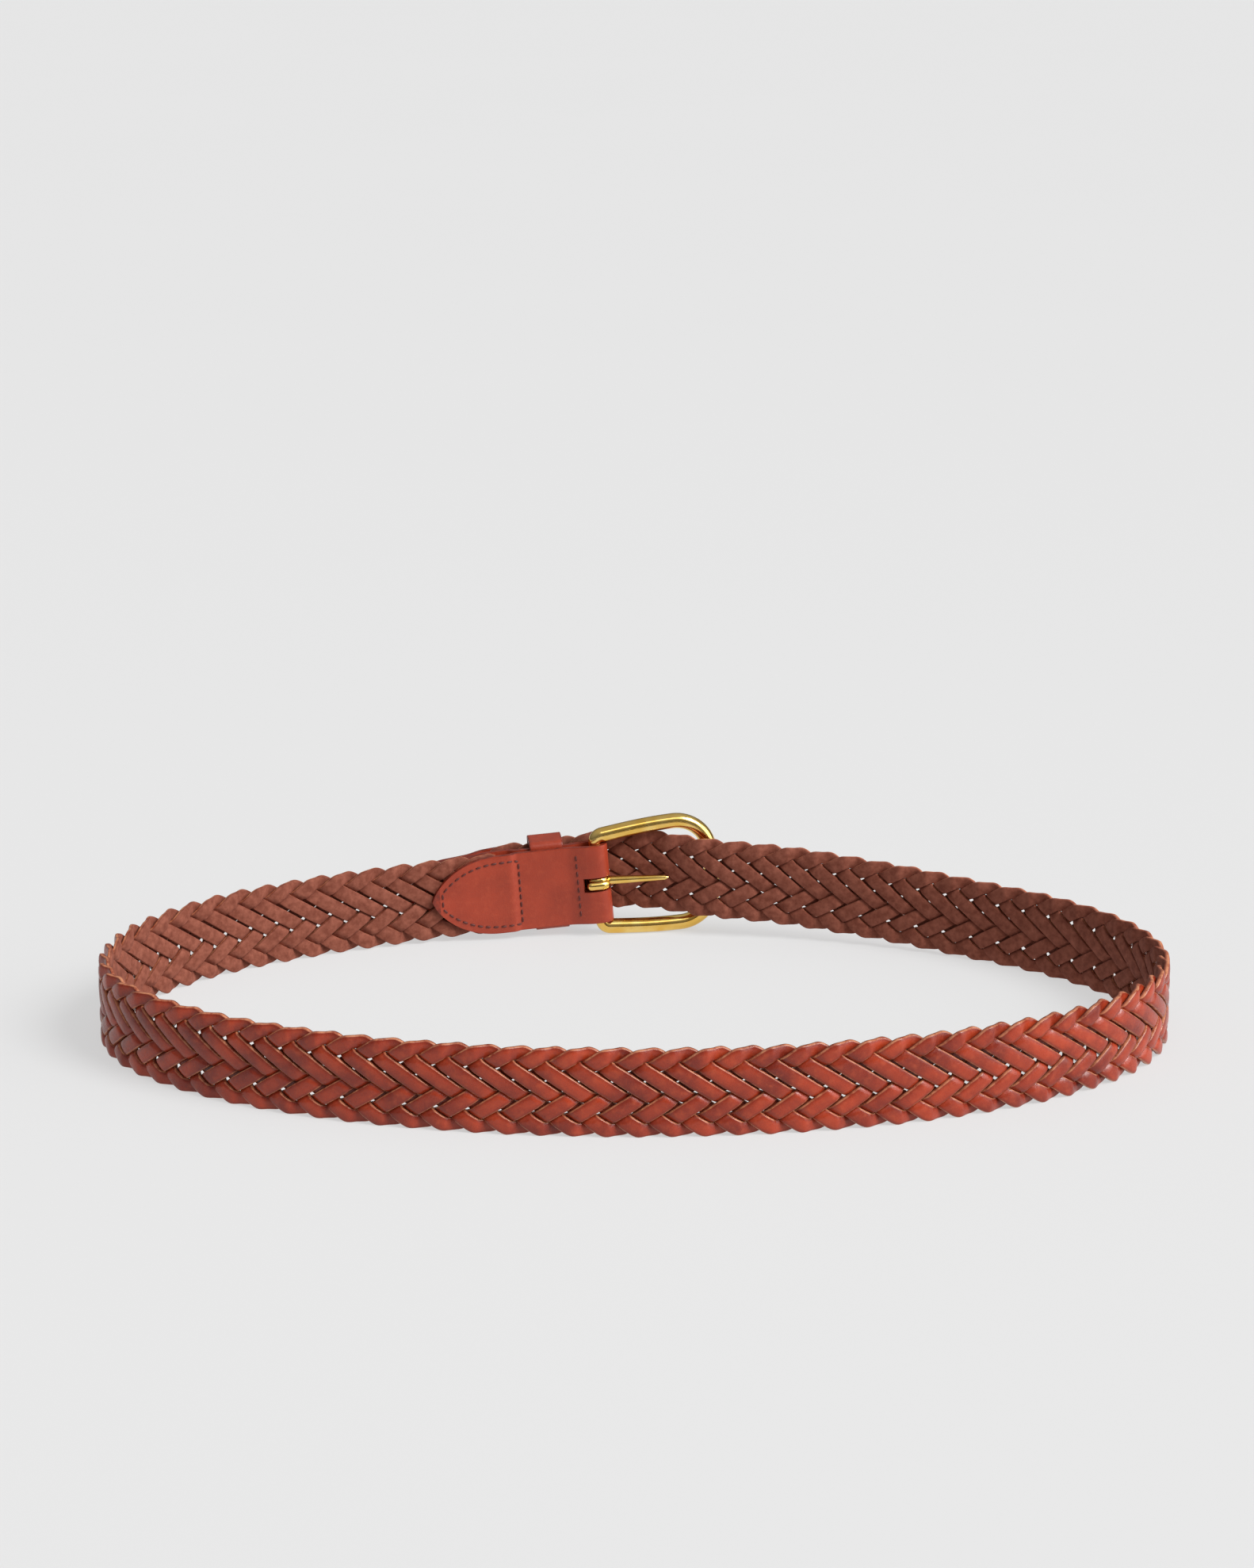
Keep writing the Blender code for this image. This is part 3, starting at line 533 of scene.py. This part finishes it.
def make_strand(index):
    """One braided strand, from its start inside the chape to its end inside the tab."""
    stations = period_stations()
    profile = strand_profile()
    starts = [index * STRAND_SPACING + turn * PERIOD for turn in TURNS]
    rows = np.concatenate([stations + [start, start, 0, 0] for start in starts])
    phase = np.concatenate([stations[:, :2] for _ in starts])
    inside = (rows[:, :2].min(axis=1) >= BRAID_FIRST) & (rows[:, :2].max(axis=1) <= BRAID_LAST)
    rows, phase = rows[inside], phase[inside]
    share = (profile[:, 0] + 1) / 2
    middle = phase.mean(axis=1)
    off_turn = np.abs((middle + PERIOD / 4) % (PERIOD / 2) - PERIOD / 4)
    fullness = 0.7 + 0.35 * rows[:, 3] + 0.22 * np.sin(rows[:, :2].mean(axis=1) * 61.0 + index)
    spread = (SWELL * fullness * smooth(off_turn / (3 * MM)) / math.cos(SLOPE))[:, None]
    length = rows[:, 1:2] + (rows[:, 0:1] - rows[:, 1:2]) * share
    upper = strand_height(phase[:, 0], 1)[:, None] + spread
    lower = strand_height(phase[:, 1], -1)[:, None] - spread
    across = (lower + (upper - lower) * share) * SQUEEZE
    local = phase[:, 1:2] + (phase[:, 0:1] - phase[:, 1:2]) * share
    from_turn = np.abs((local + PERIOD / 4) % (PERIOD / 2) - PERIOD / 4)
    top_turn = ((local + PERIOD / 4) % PERIOD) < PERIOD / 2
    inner_share = np.where(top_turn, 1 - share, share)
    crease = np.exp(-(from_turn / (1.5 * MM)) ** 2) * inner_share ** 1.5
    outer_face = profile[:, 1] > 0
    out = rows[:, 2:3] + profile[:, 1] - np.where(outer_face, 1, -1) * crease * CREASE
    points = place(length, across, out)
    count, sides = points.shape[:2]
    grid = np.arange(count * sides).reshape(count, sides)
    ahead = np.roll(grid, -1, axis=1)
    quads = np.stack([grid[:-1], ahead[:-1], ahead[1:], grid[1:]], axis=-1).reshape(-1, 4)
    faces = quads.tolist() + [grid[0][::-1].tolist(), grid[-1].tolist()]
    mesh = bpy.data.meshes.new("strand")
    mesh.from_pydata(points.reshape(-1, 3).tolist(), [], faces)
    give(mesh, "face", np.tile(np.clip(profile[:, 1] / (STRAND_THICKNESS / 2), -1, 1), count))
    give(mesh, "across", np.tile(np.abs(profile[:, 0]), count))
    give(mesh, "crease", crease.reshape(-1))
    piece = bpy.data.objects.new("strand", mesh)
    bpy.context.collection.objects.link(piece)
    clean(piece, 50)
    number = index + 1
    settle(piece, f"braid_strand_{number}", BRAID_LEATHER, "strap", f"strand_{number}")


# ---------------------------------------------------------------- leather sheets

def sheet(columns, rows, where, thickness, rounding, remove=None, closed=False):
    """A grid laid out by where(column share, row share), thickened evenly, with rounded edges."""
    bpy.ops.object.select_all(action="DESELECT")
    bpy.ops.mesh.primitive_grid_add(x_subdivisions=columns, y_subdivisions=rows, size=2)
    piece = bpy.context.object
    mesh = piece.data
    shares = np.array([((v.co.x + 1) / 2, (v.co.y + 1) / 2) for v in mesh.vertices])
    spots = where(shares[:, 0], shares[:, 1])
    mesh.vertices.foreach_set("co", np.asarray(spots, np.float32).reshape(-1))
    mesh.update()
    if remove is not None:
        activate(piece)
        bpy.ops.object.mode_set(mode="EDIT")
        bpy.ops.mesh.select_mode(type="FACE")
        bpy.ops.mesh.select_all(action="DESELECT")
        bpy.ops.object.mode_set(mode="OBJECT")
        for polygon in mesh.polygons:
            middle = shares[list(polygon.vertices)].mean(axis=0)
            polygon.select = bool(remove(middle[0], middle[1]))
        bpy.ops.object.mode_set(mode="EDIT")
        bpy.ops.mesh.delete(type="FACE")
        bpy.ops.object.mode_set(mode="OBJECT")
    if closed:
        activate(piece)
        bpy.ops.object.mode_set(mode="EDIT")
        bpy.ops.mesh.select_all(action="SELECT")
        bpy.ops.mesh.remove_doubles(threshold=0.01 * MM)
        bpy.ops.object.mode_set(mode="OBJECT")
    thick = piece.modifiers.new("thick", "SOLIDIFY")
    thick.thickness = thickness
    thick.offset = 0.0
    thick.use_even_offset = True
    soft = piece.modifiers.new("soft", "BEVEL")
    soft.width = rounding
    soft.segments = 3
    soft.limit_method = "ANGLE"
    soft.angle_limit = math.radians(50)
    apply_modifiers(piece)
    clean(piece, 40)
    return piece


def mark_edges(piece, narrow_mm2):
    """Attributes of a smooth leather piece: the corners of its narrow faces, along the rim, count as edge."""
    mesh = piece.data
    edge = np.zeros(len(mesh.vertices))
    for polygon in mesh.polygons:
        if polygon.area < narrow_mm2 * MM * MM:
            edge[list(polygon.vertices)] = 1.0
    give(mesh, "face", np.ones(len(edge)))
    give(mesh, "across", edge)
    give(mesh, "crease", np.zeros(len(edge)))


# ---------------------------------------------------------------- chape

def leaf_offset(run):
    at_bar = BAR_RADIUS + FIT_GAP + LEATHER / 2
    at_keeper = KEEPER_LEATHER / 2 + FIT_GAP + LEATHER / 2
    at_braid = BRAID_HALF + FIT_GAP + LEATHER / 2
    near = at_bar + (at_keeper - at_bar) * smooth((run - 2 * MM) / (BAR_SEAM + 2 * MM))
    past = at_keeper + (at_braid - at_keeper) * smooth((run - POCKET_START + 0.5 * MM) / (2.6 * MM))
    return np.where(run < POCKET_START, near, past)


def chape_frame(run):
    run = np.asarray(run, float)
    spot, outward = base_point(run)
    slope = np.arctan(2 * BAR_LIFT / LIFT_REACH * np.maximum(0.0, 1 - np.maximum(run, 0) / LIFT_REACH))
    zero, one = np.zeros_like(run), np.ones_like(run)
    along = np.stack([-outward[..., 1], outward[..., 0], zero], axis=-1)
    vertical = np.stack([zero, zero, one], axis=-1)
    cosine, sine = np.cos(slope)[..., None], np.sin(slope)[..., None]
    middle = np.stack([spot[..., 0], spot[..., 1], chape_lift(np.maximum(run, 0)) + CHAPE_WIDTH / 2], axis=-1)
    out = np.stack([outward[..., 0], outward[..., 1], zero], axis=-1)
    return middle, out, -along * cosine + vertical * sine, along * sine + vertical * cosine


def chape_place(run, across, out):
    middle, outward, _, up = chape_frame(run)
    return middle + up * np.asarray(across)[..., None] + outward * np.asarray(out)[..., None]


def chape_half_width(run):
    """Straight sides, then a pointed arch with a rounded tip."""
    into = np.clip((run - (CHAPE_LENGTH - POINT_LENGTH)) / POINT_LENGTH, 0, 1)
    return CHAPE_WIDTH / 2 * (1 - into ** 2.2) ** 0.72


FOLD_LENGTH = math.pi * (BAR_RADIUS + FIT_GAP + LEATHER / 2)
CHAPE_TOTAL = 2 * CHAPE_LENGTH + FOLD_LENGTH


def chape_point(column, row):
    """From the outer leaf's tip round the heel bar to the inner leaf's tip."""
    reach = column * CHAPE_TOTAL
    first = reach < CHAPE_LENGTH
    last = reach > CHAPE_LENGTH + FOLD_LENGTH
    run = np.where(first, CHAPE_LENGTH - reach, np.where(last, reach - CHAPE_LENGTH - FOLD_LENGTH, 0.0))
    turn = np.where(first, 0.0, np.where(last, math.pi, (reach - CHAPE_LENGTH) / FOLD_LENGTH * math.pi))
    middle, outward, rightwards, up = chape_frame(run)
    offset = leaf_offset(run)
    half = np.maximum(chape_half_width(run), 0.25 * MM)
    across = (2 * row - 1) * half
    spot = middle + up * across[:, None]
    spot = spot + outward * (offset * np.cos(turn))[:, None] + rightwards * (offset * np.sin(turn))[:, None]
    return spot


def make_chape():
    def in_slot(column, row):
        reach = abs(column - 0.5) * CHAPE_TOTAL - FOLD_LENGTH / 2
        return reach < SLOT_END and abs(2 * row - 1) * CHAPE_WIDTH / 2 < SLOT_HALF
    piece = sheet(150, 34, chape_point, LEATHER, 0.4 * MM, in_slot)
    mark_edges(piece, 0.25)
    settle(piece, "folded_chape", SMOOTH_LEATHER, "strap", "chape")


# ---------------------------------------------------------------- keeper

def keeper_outline(share):
    """Middle line of the keeper's section: out from the chape's middle, and height."""
    far = TAIL_OFFSET + TAIL_SPREAD + BRAID_HALF + FIT_GAP + KEEPER_EASE + KEEPER_LEATHER / 2
    half = CHAPE_WIDTH / 2 + KEEPER_CLEARANCE + KEEPER_LEATHER / 2
    corner = 1.6 * MM
    points = []
    for cx, cy, start in ((far - corner, half - corner, 0), (corner, half - corner, 1),
                          (corner, -half + corner, 2), (far - corner, -half + corner, 3)):
        for k in range(7):
            turn = math.pi / 2 * (start + k / 6)
            points.append((cx + corner * math.cos(turn), cy + corner * math.sin(turn)))
    points.append(points[0])
    points = np.array(points)
    lengths = np.concatenate([[0], np.cumsum(np.linalg.norm(np.diff(points, axis=0), axis=1))])
    at = share * lengths[-1]
    return np.interp(at, lengths, points[:, 0]), np.interp(at, lengths, points[:, 1])


def make_keeper():
    middle, outward, rightwards, up = chape_frame(np.array([KEEPER_MIDDLE]))
    def where(column, row):
        out, height = keeper_outline(column)
        along = (row - 0.5) * KEEPER_WIDTH
        return (middle + rightwards * along[:, None] + outward * out[:, None]
                + up * (height + KEEPER_LIFT)[:, None])
    piece = sheet(96, 8, where, KEEPER_LEATHER, 0.4 * MM, closed=True)
    mark_edges(piece, 0.25)
    settle(piece, "keeper_loop_leather", SMOOTH_LEATHER, "keeper_loop", "keeper")


# ---------------------------------------------------------------- end tab

def tab_offset(past_bar):
    near_braid = BRAID_HALF + FIT_GAP + TAB_LEATHER / 2
    closed = FIT_GAP / 2 + TAB_LEATHER / 2
    return near_braid + (closed - near_braid) * smooth((past_bar - BRAID_TAIL - 1 * MM) / (7 * MM))


def tab_half_width(past_bar):
    into = np.clip((past_bar - (TAB_START + TAB_LENGTH - TAB_ROUND)) / TAB_ROUND, 0, 1)
    return TAB_WIDTH / 2 * np.sqrt(np.maximum(1 - into * into, 0))


def make_tab_leaf(name, side):
    def where(column, row):
        spot = TAB_START + TAB_LENGTH * column
        half = np.maximum(tab_half_width(spot), 0.25 * MM)
        return place_free(spot, (2 * row - 1) * half, side * tab_offset(spot))
    piece = sheet(60, 16, where, TAB_LEATHER, 0.35 * MM)
    mark_edges(piece, 0.22)
    settle(piece, f"end_tab_{name}_leather", SMOOTH_LEATHER, "strap", f"end_tab_{name}_leaf")


# ---------------------------------------------------------------- stitching

STITCH_LENGTH = 2.1 * MM
STITCH_PITCH = 3.0 * MM


def stitches(name, points, out_directions, node, closed):
    """Short dashes of thread laid along a seam, sunk a little into the leather at their ends."""
    points = np.asarray(points)
    if closed:
        points = np.vstack([points, points[:1]])
        out_directions = np.vstack([out_directions, out_directions[:1]])
    lengths = np.concatenate([[0], np.cumsum(np.linalg.norm(np.diff(points, axis=0), axis=1))])
    count = max(3, round(lengths[-1] / STITCH_PITCH))
    pitch = lengths[-1] / count
    bpy.ops.object.select_all(action="DESELECT")
    bpy.ops.mesh.primitive_uv_sphere_add(segments=8, ring_count=6, radius=1.0)
    piece = bpy.context.object
    mesh = piece.data
    bead = np.array([tuple(v.co) for v in mesh.vertices])
    bead[:, 0] = np.sign(bead[:, 0]) * np.abs(bead[:, 0]) ** 0.6
    bead_faces = [tuple(p.vertices) for p in mesh.polygons]
    spots, faces = [], []
    for k in range(count):
        middle = (k + 0.5) * pitch
        ends = [np.array([np.interp(middle + d, lengths, points[:, i]) for i in range(3)])
                for d in (-STITCH_LENGTH / 2, STITCH_LENGTH / 2)]
        out = np.array([np.interp(middle, lengths, out_directions[:, i]) for i in range(3)])
        along = ends[1] - ends[0]
        size = np.linalg.norm(along)
        along /= size
        out = out / np.linalg.norm(out)
        side = np.cross(out, along)
        centre = (ends[0] + ends[1]) / 2 - out * 0.35 * THREAD_RADIUS
        axes = np.array([along * size / 2, side * 1.15 * THREAD_RADIUS, out * THREAD_RADIUS])
        spots.append(centre + bead @ axes)
        faces += [[corner + k * len(bead) for corner in face] for face in bead_faces]
    mesh.clear_geometry()
    mesh.from_pydata(np.concatenate(spots).tolist(), [], faces)
    activate(piece)
    bpy.ops.object.shade_smooth_by_angle(angle=math.radians(80))
    settle(piece, name, THREAD, "strap", node)


def chape_thread_out(run, side):
    return side * (leaf_offset(run) + LEATHER / 2 + 0.5 * THREAD_RADIUS)


def make_chape_seams(name, side):
    reach = CHAPE_WIDTH / 2 - SEAM_INSET
    heights = np.linspace(-reach, reach, 12)
    runs = np.full(12, BAR_SEAM)
    outs = chape_frame(runs)[1] * side
    stitches(f"bar_seam_{name}_stitches", chape_place(runs, heights, chape_thread_out(runs, side)), outs,
             f"bar_seam_{name}_thread", False)
    start = POINT_SEAM
    tip = CHAPE_LENGTH - 1.5 * SEAM_INSET
    cross = [(start, -reach + 2 * reach * k / 10) for k in range(10)]
    outline = start + (tip - start) * np.linspace(0, 1, 24) ** 0.8
    upper = [(run, max(float(chape_half_width(run + 0.6 * MM)) - SEAM_INSET, 0.3 * MM)) for run in outline]
    spots = np.array(cross + upper + [(run, -across) for run, across in reversed(upper)])
    runs, heights = spots[:, 0], spots[:, 1]
    outs = chape_frame(runs)[1] * side
    stitches(f"point_seam_{name}_stitches", chape_place(runs, heights, chape_thread_out(runs, side)), outs,
             f"point_seam_{name}_thread", True)


def make_tab_seam(name, side):
    runs = TAB_START + 2 * MM + (TAB_LENGTH - 4.5 * MM) * np.linspace(0, 1, 30) ** 0.85
    upper = [(run, max(float(tab_half_width(run + 0.8 * MM)) - 2 * MM, 0.3 * MM)) for run in runs]
    spots = np.array(upper + [(run, -across) for run, across in reversed(upper)])
    lift = TAB_LEATHER / 2 + 0.5 * THREAD_RADIUS
    points = place_free(spots[:, 0], spots[:, 1], side * (tab_offset(spots[:, 0]) + lift))
    outs = points - place_free(spots[:, 0], spots[:, 1], np.zeros(len(spots)))
    stitches(f"end_tab_{name}_stitches", points, outs, f"end_tab_{name}_thread", False)


# ---------------------------------------------------------------- buckle

def bar_frame():
    """Heel bar: its middle, the direction to the far bar, outward, and its own direction."""
    spot, outward = base_point(np.array([0.0]))
    spot, outward = spot[0], outward[0]
    flat = np.array([outward[1], -outward[0], 0.0])
    out = np.array([*outward, 0.0])
    axis = np.array([0, 0, math.cos(BAR_ROLL)]) - flat * math.sin(BAR_ROLL)
    reach = flat * math.cos(BAR_ROLL) + np.array([0, 0, math.sin(BAR_ROLL)])
    return np.array([*spot, FRAME_LIFT]), reach, out, axis


def rod(points, radii, closed, sides=8):
    """A round rod along a line of points, thinner or thicker by radii."""
    bpy.ops.object.select_all(action="DESELECT")
    bpy.ops.curve.primitive_nurbs_path_add(location=(0, 0, 0))
    piece = bpy.context.object
    curve = piece.data
    curve.splines.clear()
    line = curve.splines.new("POLY")
    line.points.add(len(points) - 1)
    for spot, place_at, radius in zip(line.points, points, radii):
        spot.co = (*place_at, 1.0)
        spot.radius = radius
    line.use_cyclic_u = closed
    curve.dimensions = "3D"
    curve.bevel_depth = 1.0
    curve.bevel_resolution = sides
    curve.use_fill_caps = True
    activate(piece)
    bpy.ops.object.convert(target="MESH")
    piece = bpy.context.object
    clean(piece, 45, merge=0.005 * MM)
    return piece


def make_buckle():
    middle, reach, out, axis = bar_frame()
    tilted = reach * math.cos(FRAME_TILT) + out * math.sin(FRAME_TILT)
    arm_end = FRAME_LENGTH - FRAME_CORNER
    heel = HEEL_ROUND
    outline = [(0.0, y, BAR_RADIUS) for y in np.linspace(0, HEEL_HALF_HEIGHT - heel, 8)]
    for k in range(1, 10):
        turn = math.pi / 2 * k / 9
        outline.append((heel * (1 - math.cos(turn)), HEEL_HALF_HEIGHT - heel * (1 - math.sin(turn)),
                        BAR_RADIUS + (ARM_RADIUS - BAR_RADIUS) * k / 9))
    for t in np.linspace(0.05, 1.0, 20):
        rise = HEEL_HALF_HEIGHT + (FAR_HALF_HEIGHT - HEEL_HALF_HEIGHT) * math.sin(math.pi / 2 * t)
        outline.append((heel + (arm_end - heel) * t, rise, ARM_RADIUS))
    for k in range(1, 25):
        turn = math.pi / 2 * (1 - k / 24)
        outline.append((arm_end + FRAME_CORNER * math.cos(turn),
                        FAR_HALF_HEIGHT - FRAME_CORNER * (1 - math.sin(turn)), ARM_RADIUS))
    outline += [(FRAME_LENGTH, y, ARM_RADIUS) for y in np.linspace(FAR_HALF_HEIGHT - FRAME_CORNER - MM, 0, 4)]
    outline += [(x, -y, r) for x, y, r in reversed(outline[1:-1])]
    points = [middle + tilted * x + axis * y for x, y, _ in outline]
    piece = rod(points, [r for _, _, r in outline], True, 10)
    settle(piece, "brass_buckle_frame", BRASS, "frame", "buckle_frame")


HOOK_RADIUS = 1.75 * MM  # the wire's rolled end, which closes the eye
HOOK_DROP = 0.5 * MM
HOOK_TAIL = 4.3 * MM


def make_prong():
    middle, reach, out, axis = bar_frame()
    eye_radius = BAR_RADIUS + RUNNING_GAP + PRONG_EYE_WALL / 2
    bpy.ops.object.select_all(action="DESELECT")
    bpy.ops.mesh.primitive_torus_add(major_segments=48, minor_segments=16, major_radius=eye_radius,
                                     minor_radius=PRONG_EYE_WALL / 2)
    eye = bpy.context.object
    for vertex in eye.data.vertices:
        x, y, z = vertex.co
        height = z / (PRONG_EYE_WALL / 2)
        flat = math.copysign(abs(height) ** 0.6, height) * PRONG_EYE_WIDTH / 2
        vertex.co = Vector(middle + reach * x + out * y + axis * flat)
    direction = reach * math.cos(PRONG_ANGLE) + out * math.sin(PRONG_ANGLE)
    root = BAR_RADIUS + RUNNING_GAP + PRONG_EYE_WALL * 0.45
    points, radii = [], []
    for t in np.linspace(0, 1, 18):
        points.append(middle + direction * (root + (PRONG_REACH - root) * t) + out * 0.9 * MM)
        radius = PRONG_ROOT_RADIUS + (PRONG_TIP_RADIUS - PRONG_ROOT_RADIUS) * t
        radii.append(radius * math.sqrt(max(1 - max((t - 0.94) / 0.062, 0) ** 2, 0.04)))
    shaft = rod(points, radii, False)
    hook_line = []
    rolled = eye_radius + 0.15 * MM
    for turn in np.radians(np.linspace(-45, -92, 7)):
        hook_line.append(middle + (reach * math.cos(turn) + out * math.sin(turn)) * rolled - axis * HOOK_DROP)
    for distance in np.linspace(0.3, 1, 8) * HOOK_TAIL:
        hook_line.append(middle - out * rolled - reach * distance - axis * HOOK_DROP)
    tapered = [HOOK_RADIUS * share for share in (0.98, 0.9, 0.7, 0.3)]
    hook_radii = [HOOK_RADIUS] * (len(hook_line) - len(tapered)) + tapered
    hook = rod(hook_line, hook_radii, False)
    activate(eye)
    shaft.select_set(True)
    hook.select_set(True)
    bpy.ops.object.join()
    clean(eye, 45)
    settle(eye, "brass_prong", BRASS, "prong_body", "prong")


# ---------------------------------------------------------------- floor, light, camera

FLOOR_SIZE = 60.0
FLOOR_GLOW = 0.55  # keeps the paper white, with light shadows
# Name, strength, softness in degrees, and where each sun shines from.
SUNS = (("key_light", 2.75, 30, (0.8, -0.45, 0.9)), ("side_light", 1.35, 46, (1.0, -0.3, 0.3)))
PANEL_SIZE = (1.1, 0.45)
PANEL_POWER = 2.2
PANEL_PLACE = (0.25, -0.75, 1.15)
PANEL_TARGET = (0, 0.05, 0)
SKY_LOW, SKY_HIGH, SKY_TOP = 0.08, 0.45, 0.9  # strength at the horizon, at the top, and the height of the top
CAMERA_PLACE = (-0.0025, -1.3107, 0.472)
CAMERA_PITCH = math.radians(73.64)
CAMERA_LENS = 91.0
CAMERA_SENSOR = 36.0


def hold(name, data):
    """Puts a light or a camera in the scene."""
    holder = bpy.data.objects.new(name, data)
    bpy.context.collection.objects.link(holder)
    return holder


def make_floor():
    bpy.ops.object.select_all(action="DESELECT")
    bpy.ops.mesh.primitive_plane_add(size=FLOOR_SIZE, location=(0, 0, 0))
    floor = bpy.context.object
    floor.name = "studio_floor"
    material, tree, shader = new_material("pale_paper_sweep")
    where = add(tree, "ShaderNodeTexCoord", {}, "Object")
    cloud = add(tree, "ShaderNodeTexNoise",
                {"Vector": where, "Scale": 3.0, "Detail": 3.0, "Roughness": 0.5}, "Fac")
    tone = add(tree, "ShaderNodeMix", {0: cloud, COLOUR_A: linear("808080"), COLOUR_B: linear("828282")},
               COLOUR_OUT, data_type="RGBA")
    fill(tree, shader, {"Base Color": tone, "Emission Color": (1, 1, 1, 1), "Emission Strength": FLOOR_GLOW,
                        "Roughness": 0.95, "Specular IOR Level": 0.0})
    floor.data.materials.append(material)
    return floor


def make_lights():
    lights = []
    for name, strength, softness, towards in SUNS:
        sun = bpy.data.lights.new(name, "SUN")
        sun.energy = strength
        sun.angle = math.radians(softness)
        holder = hold(name, sun)
        holder.rotation_euler = Vector(towards).to_track_quat("Z", "Y").to_euler()
        lights.append(holder)
    panel = bpy.data.lights.new("soft_panel", "AREA")
    panel.shape = "RECTANGLE"
    panel.size, panel.size_y = PANEL_SIZE
    panel.energy = PANEL_POWER
    holder = hold("soft_panel", panel)
    holder.location = PANEL_PLACE
    facing = Vector(PANEL_PLACE) - Vector(PANEL_TARGET)
    holder.rotation_euler = facing.to_track_quat("Z", "Y").to_euler()
    lights.append(holder)
    return lights


def make_sky():
    world = bpy.data.worlds.new("studio")
    bpy.context.scene.world = world
    world.use_nodes = True
    tree = world.node_tree
    direction = add(tree, "ShaderNodeTexCoord", {}, "Generated")
    height = add(tree, "ShaderNodeSeparateXYZ", {"Vector": direction}, "Z")
    bright = add(tree, "ShaderNodeMapRange", {"Value": height, "From Min": 0.0, "From Max": SKY_TOP,
                                              "To Min": SKY_LOW, "To Max": SKY_HIGH}, "Result")
    fill(tree, tree.nodes["Background"], {"Color": (1, 1, 1, 1), "Strength": bright})


def make_camera():
    camera = bpy.data.cameras.new("camera")
    camera.lens = CAMERA_LENS
    camera.sensor_width = CAMERA_SENSOR
    camera.clip_start = 0.05
    camera.clip_end = 100
    holder = hold("camera", camera)
    holder.location = CAMERA_PLACE
    holder.rotation_euler = (CAMERA_PITCH, 0, 0)
    bpy.context.scene.camera = holder


for strand in range(STRAND_COUNT):
    make_strand(strand)
make_chape()
make_keeper()
for leaf, leaf_side in (("inner", -1), ("outer", 1)):
    make_tab_leaf(leaf, leaf_side)
    make_chape_seams(leaf, leaf_side)
    make_tab_seam(leaf, leaf_side)
make_buckle()
make_prong()
make_floor()
make_lights()
make_sky()
make_camera()
bpy.context.scene.view_settings.view_transform = "Standard"
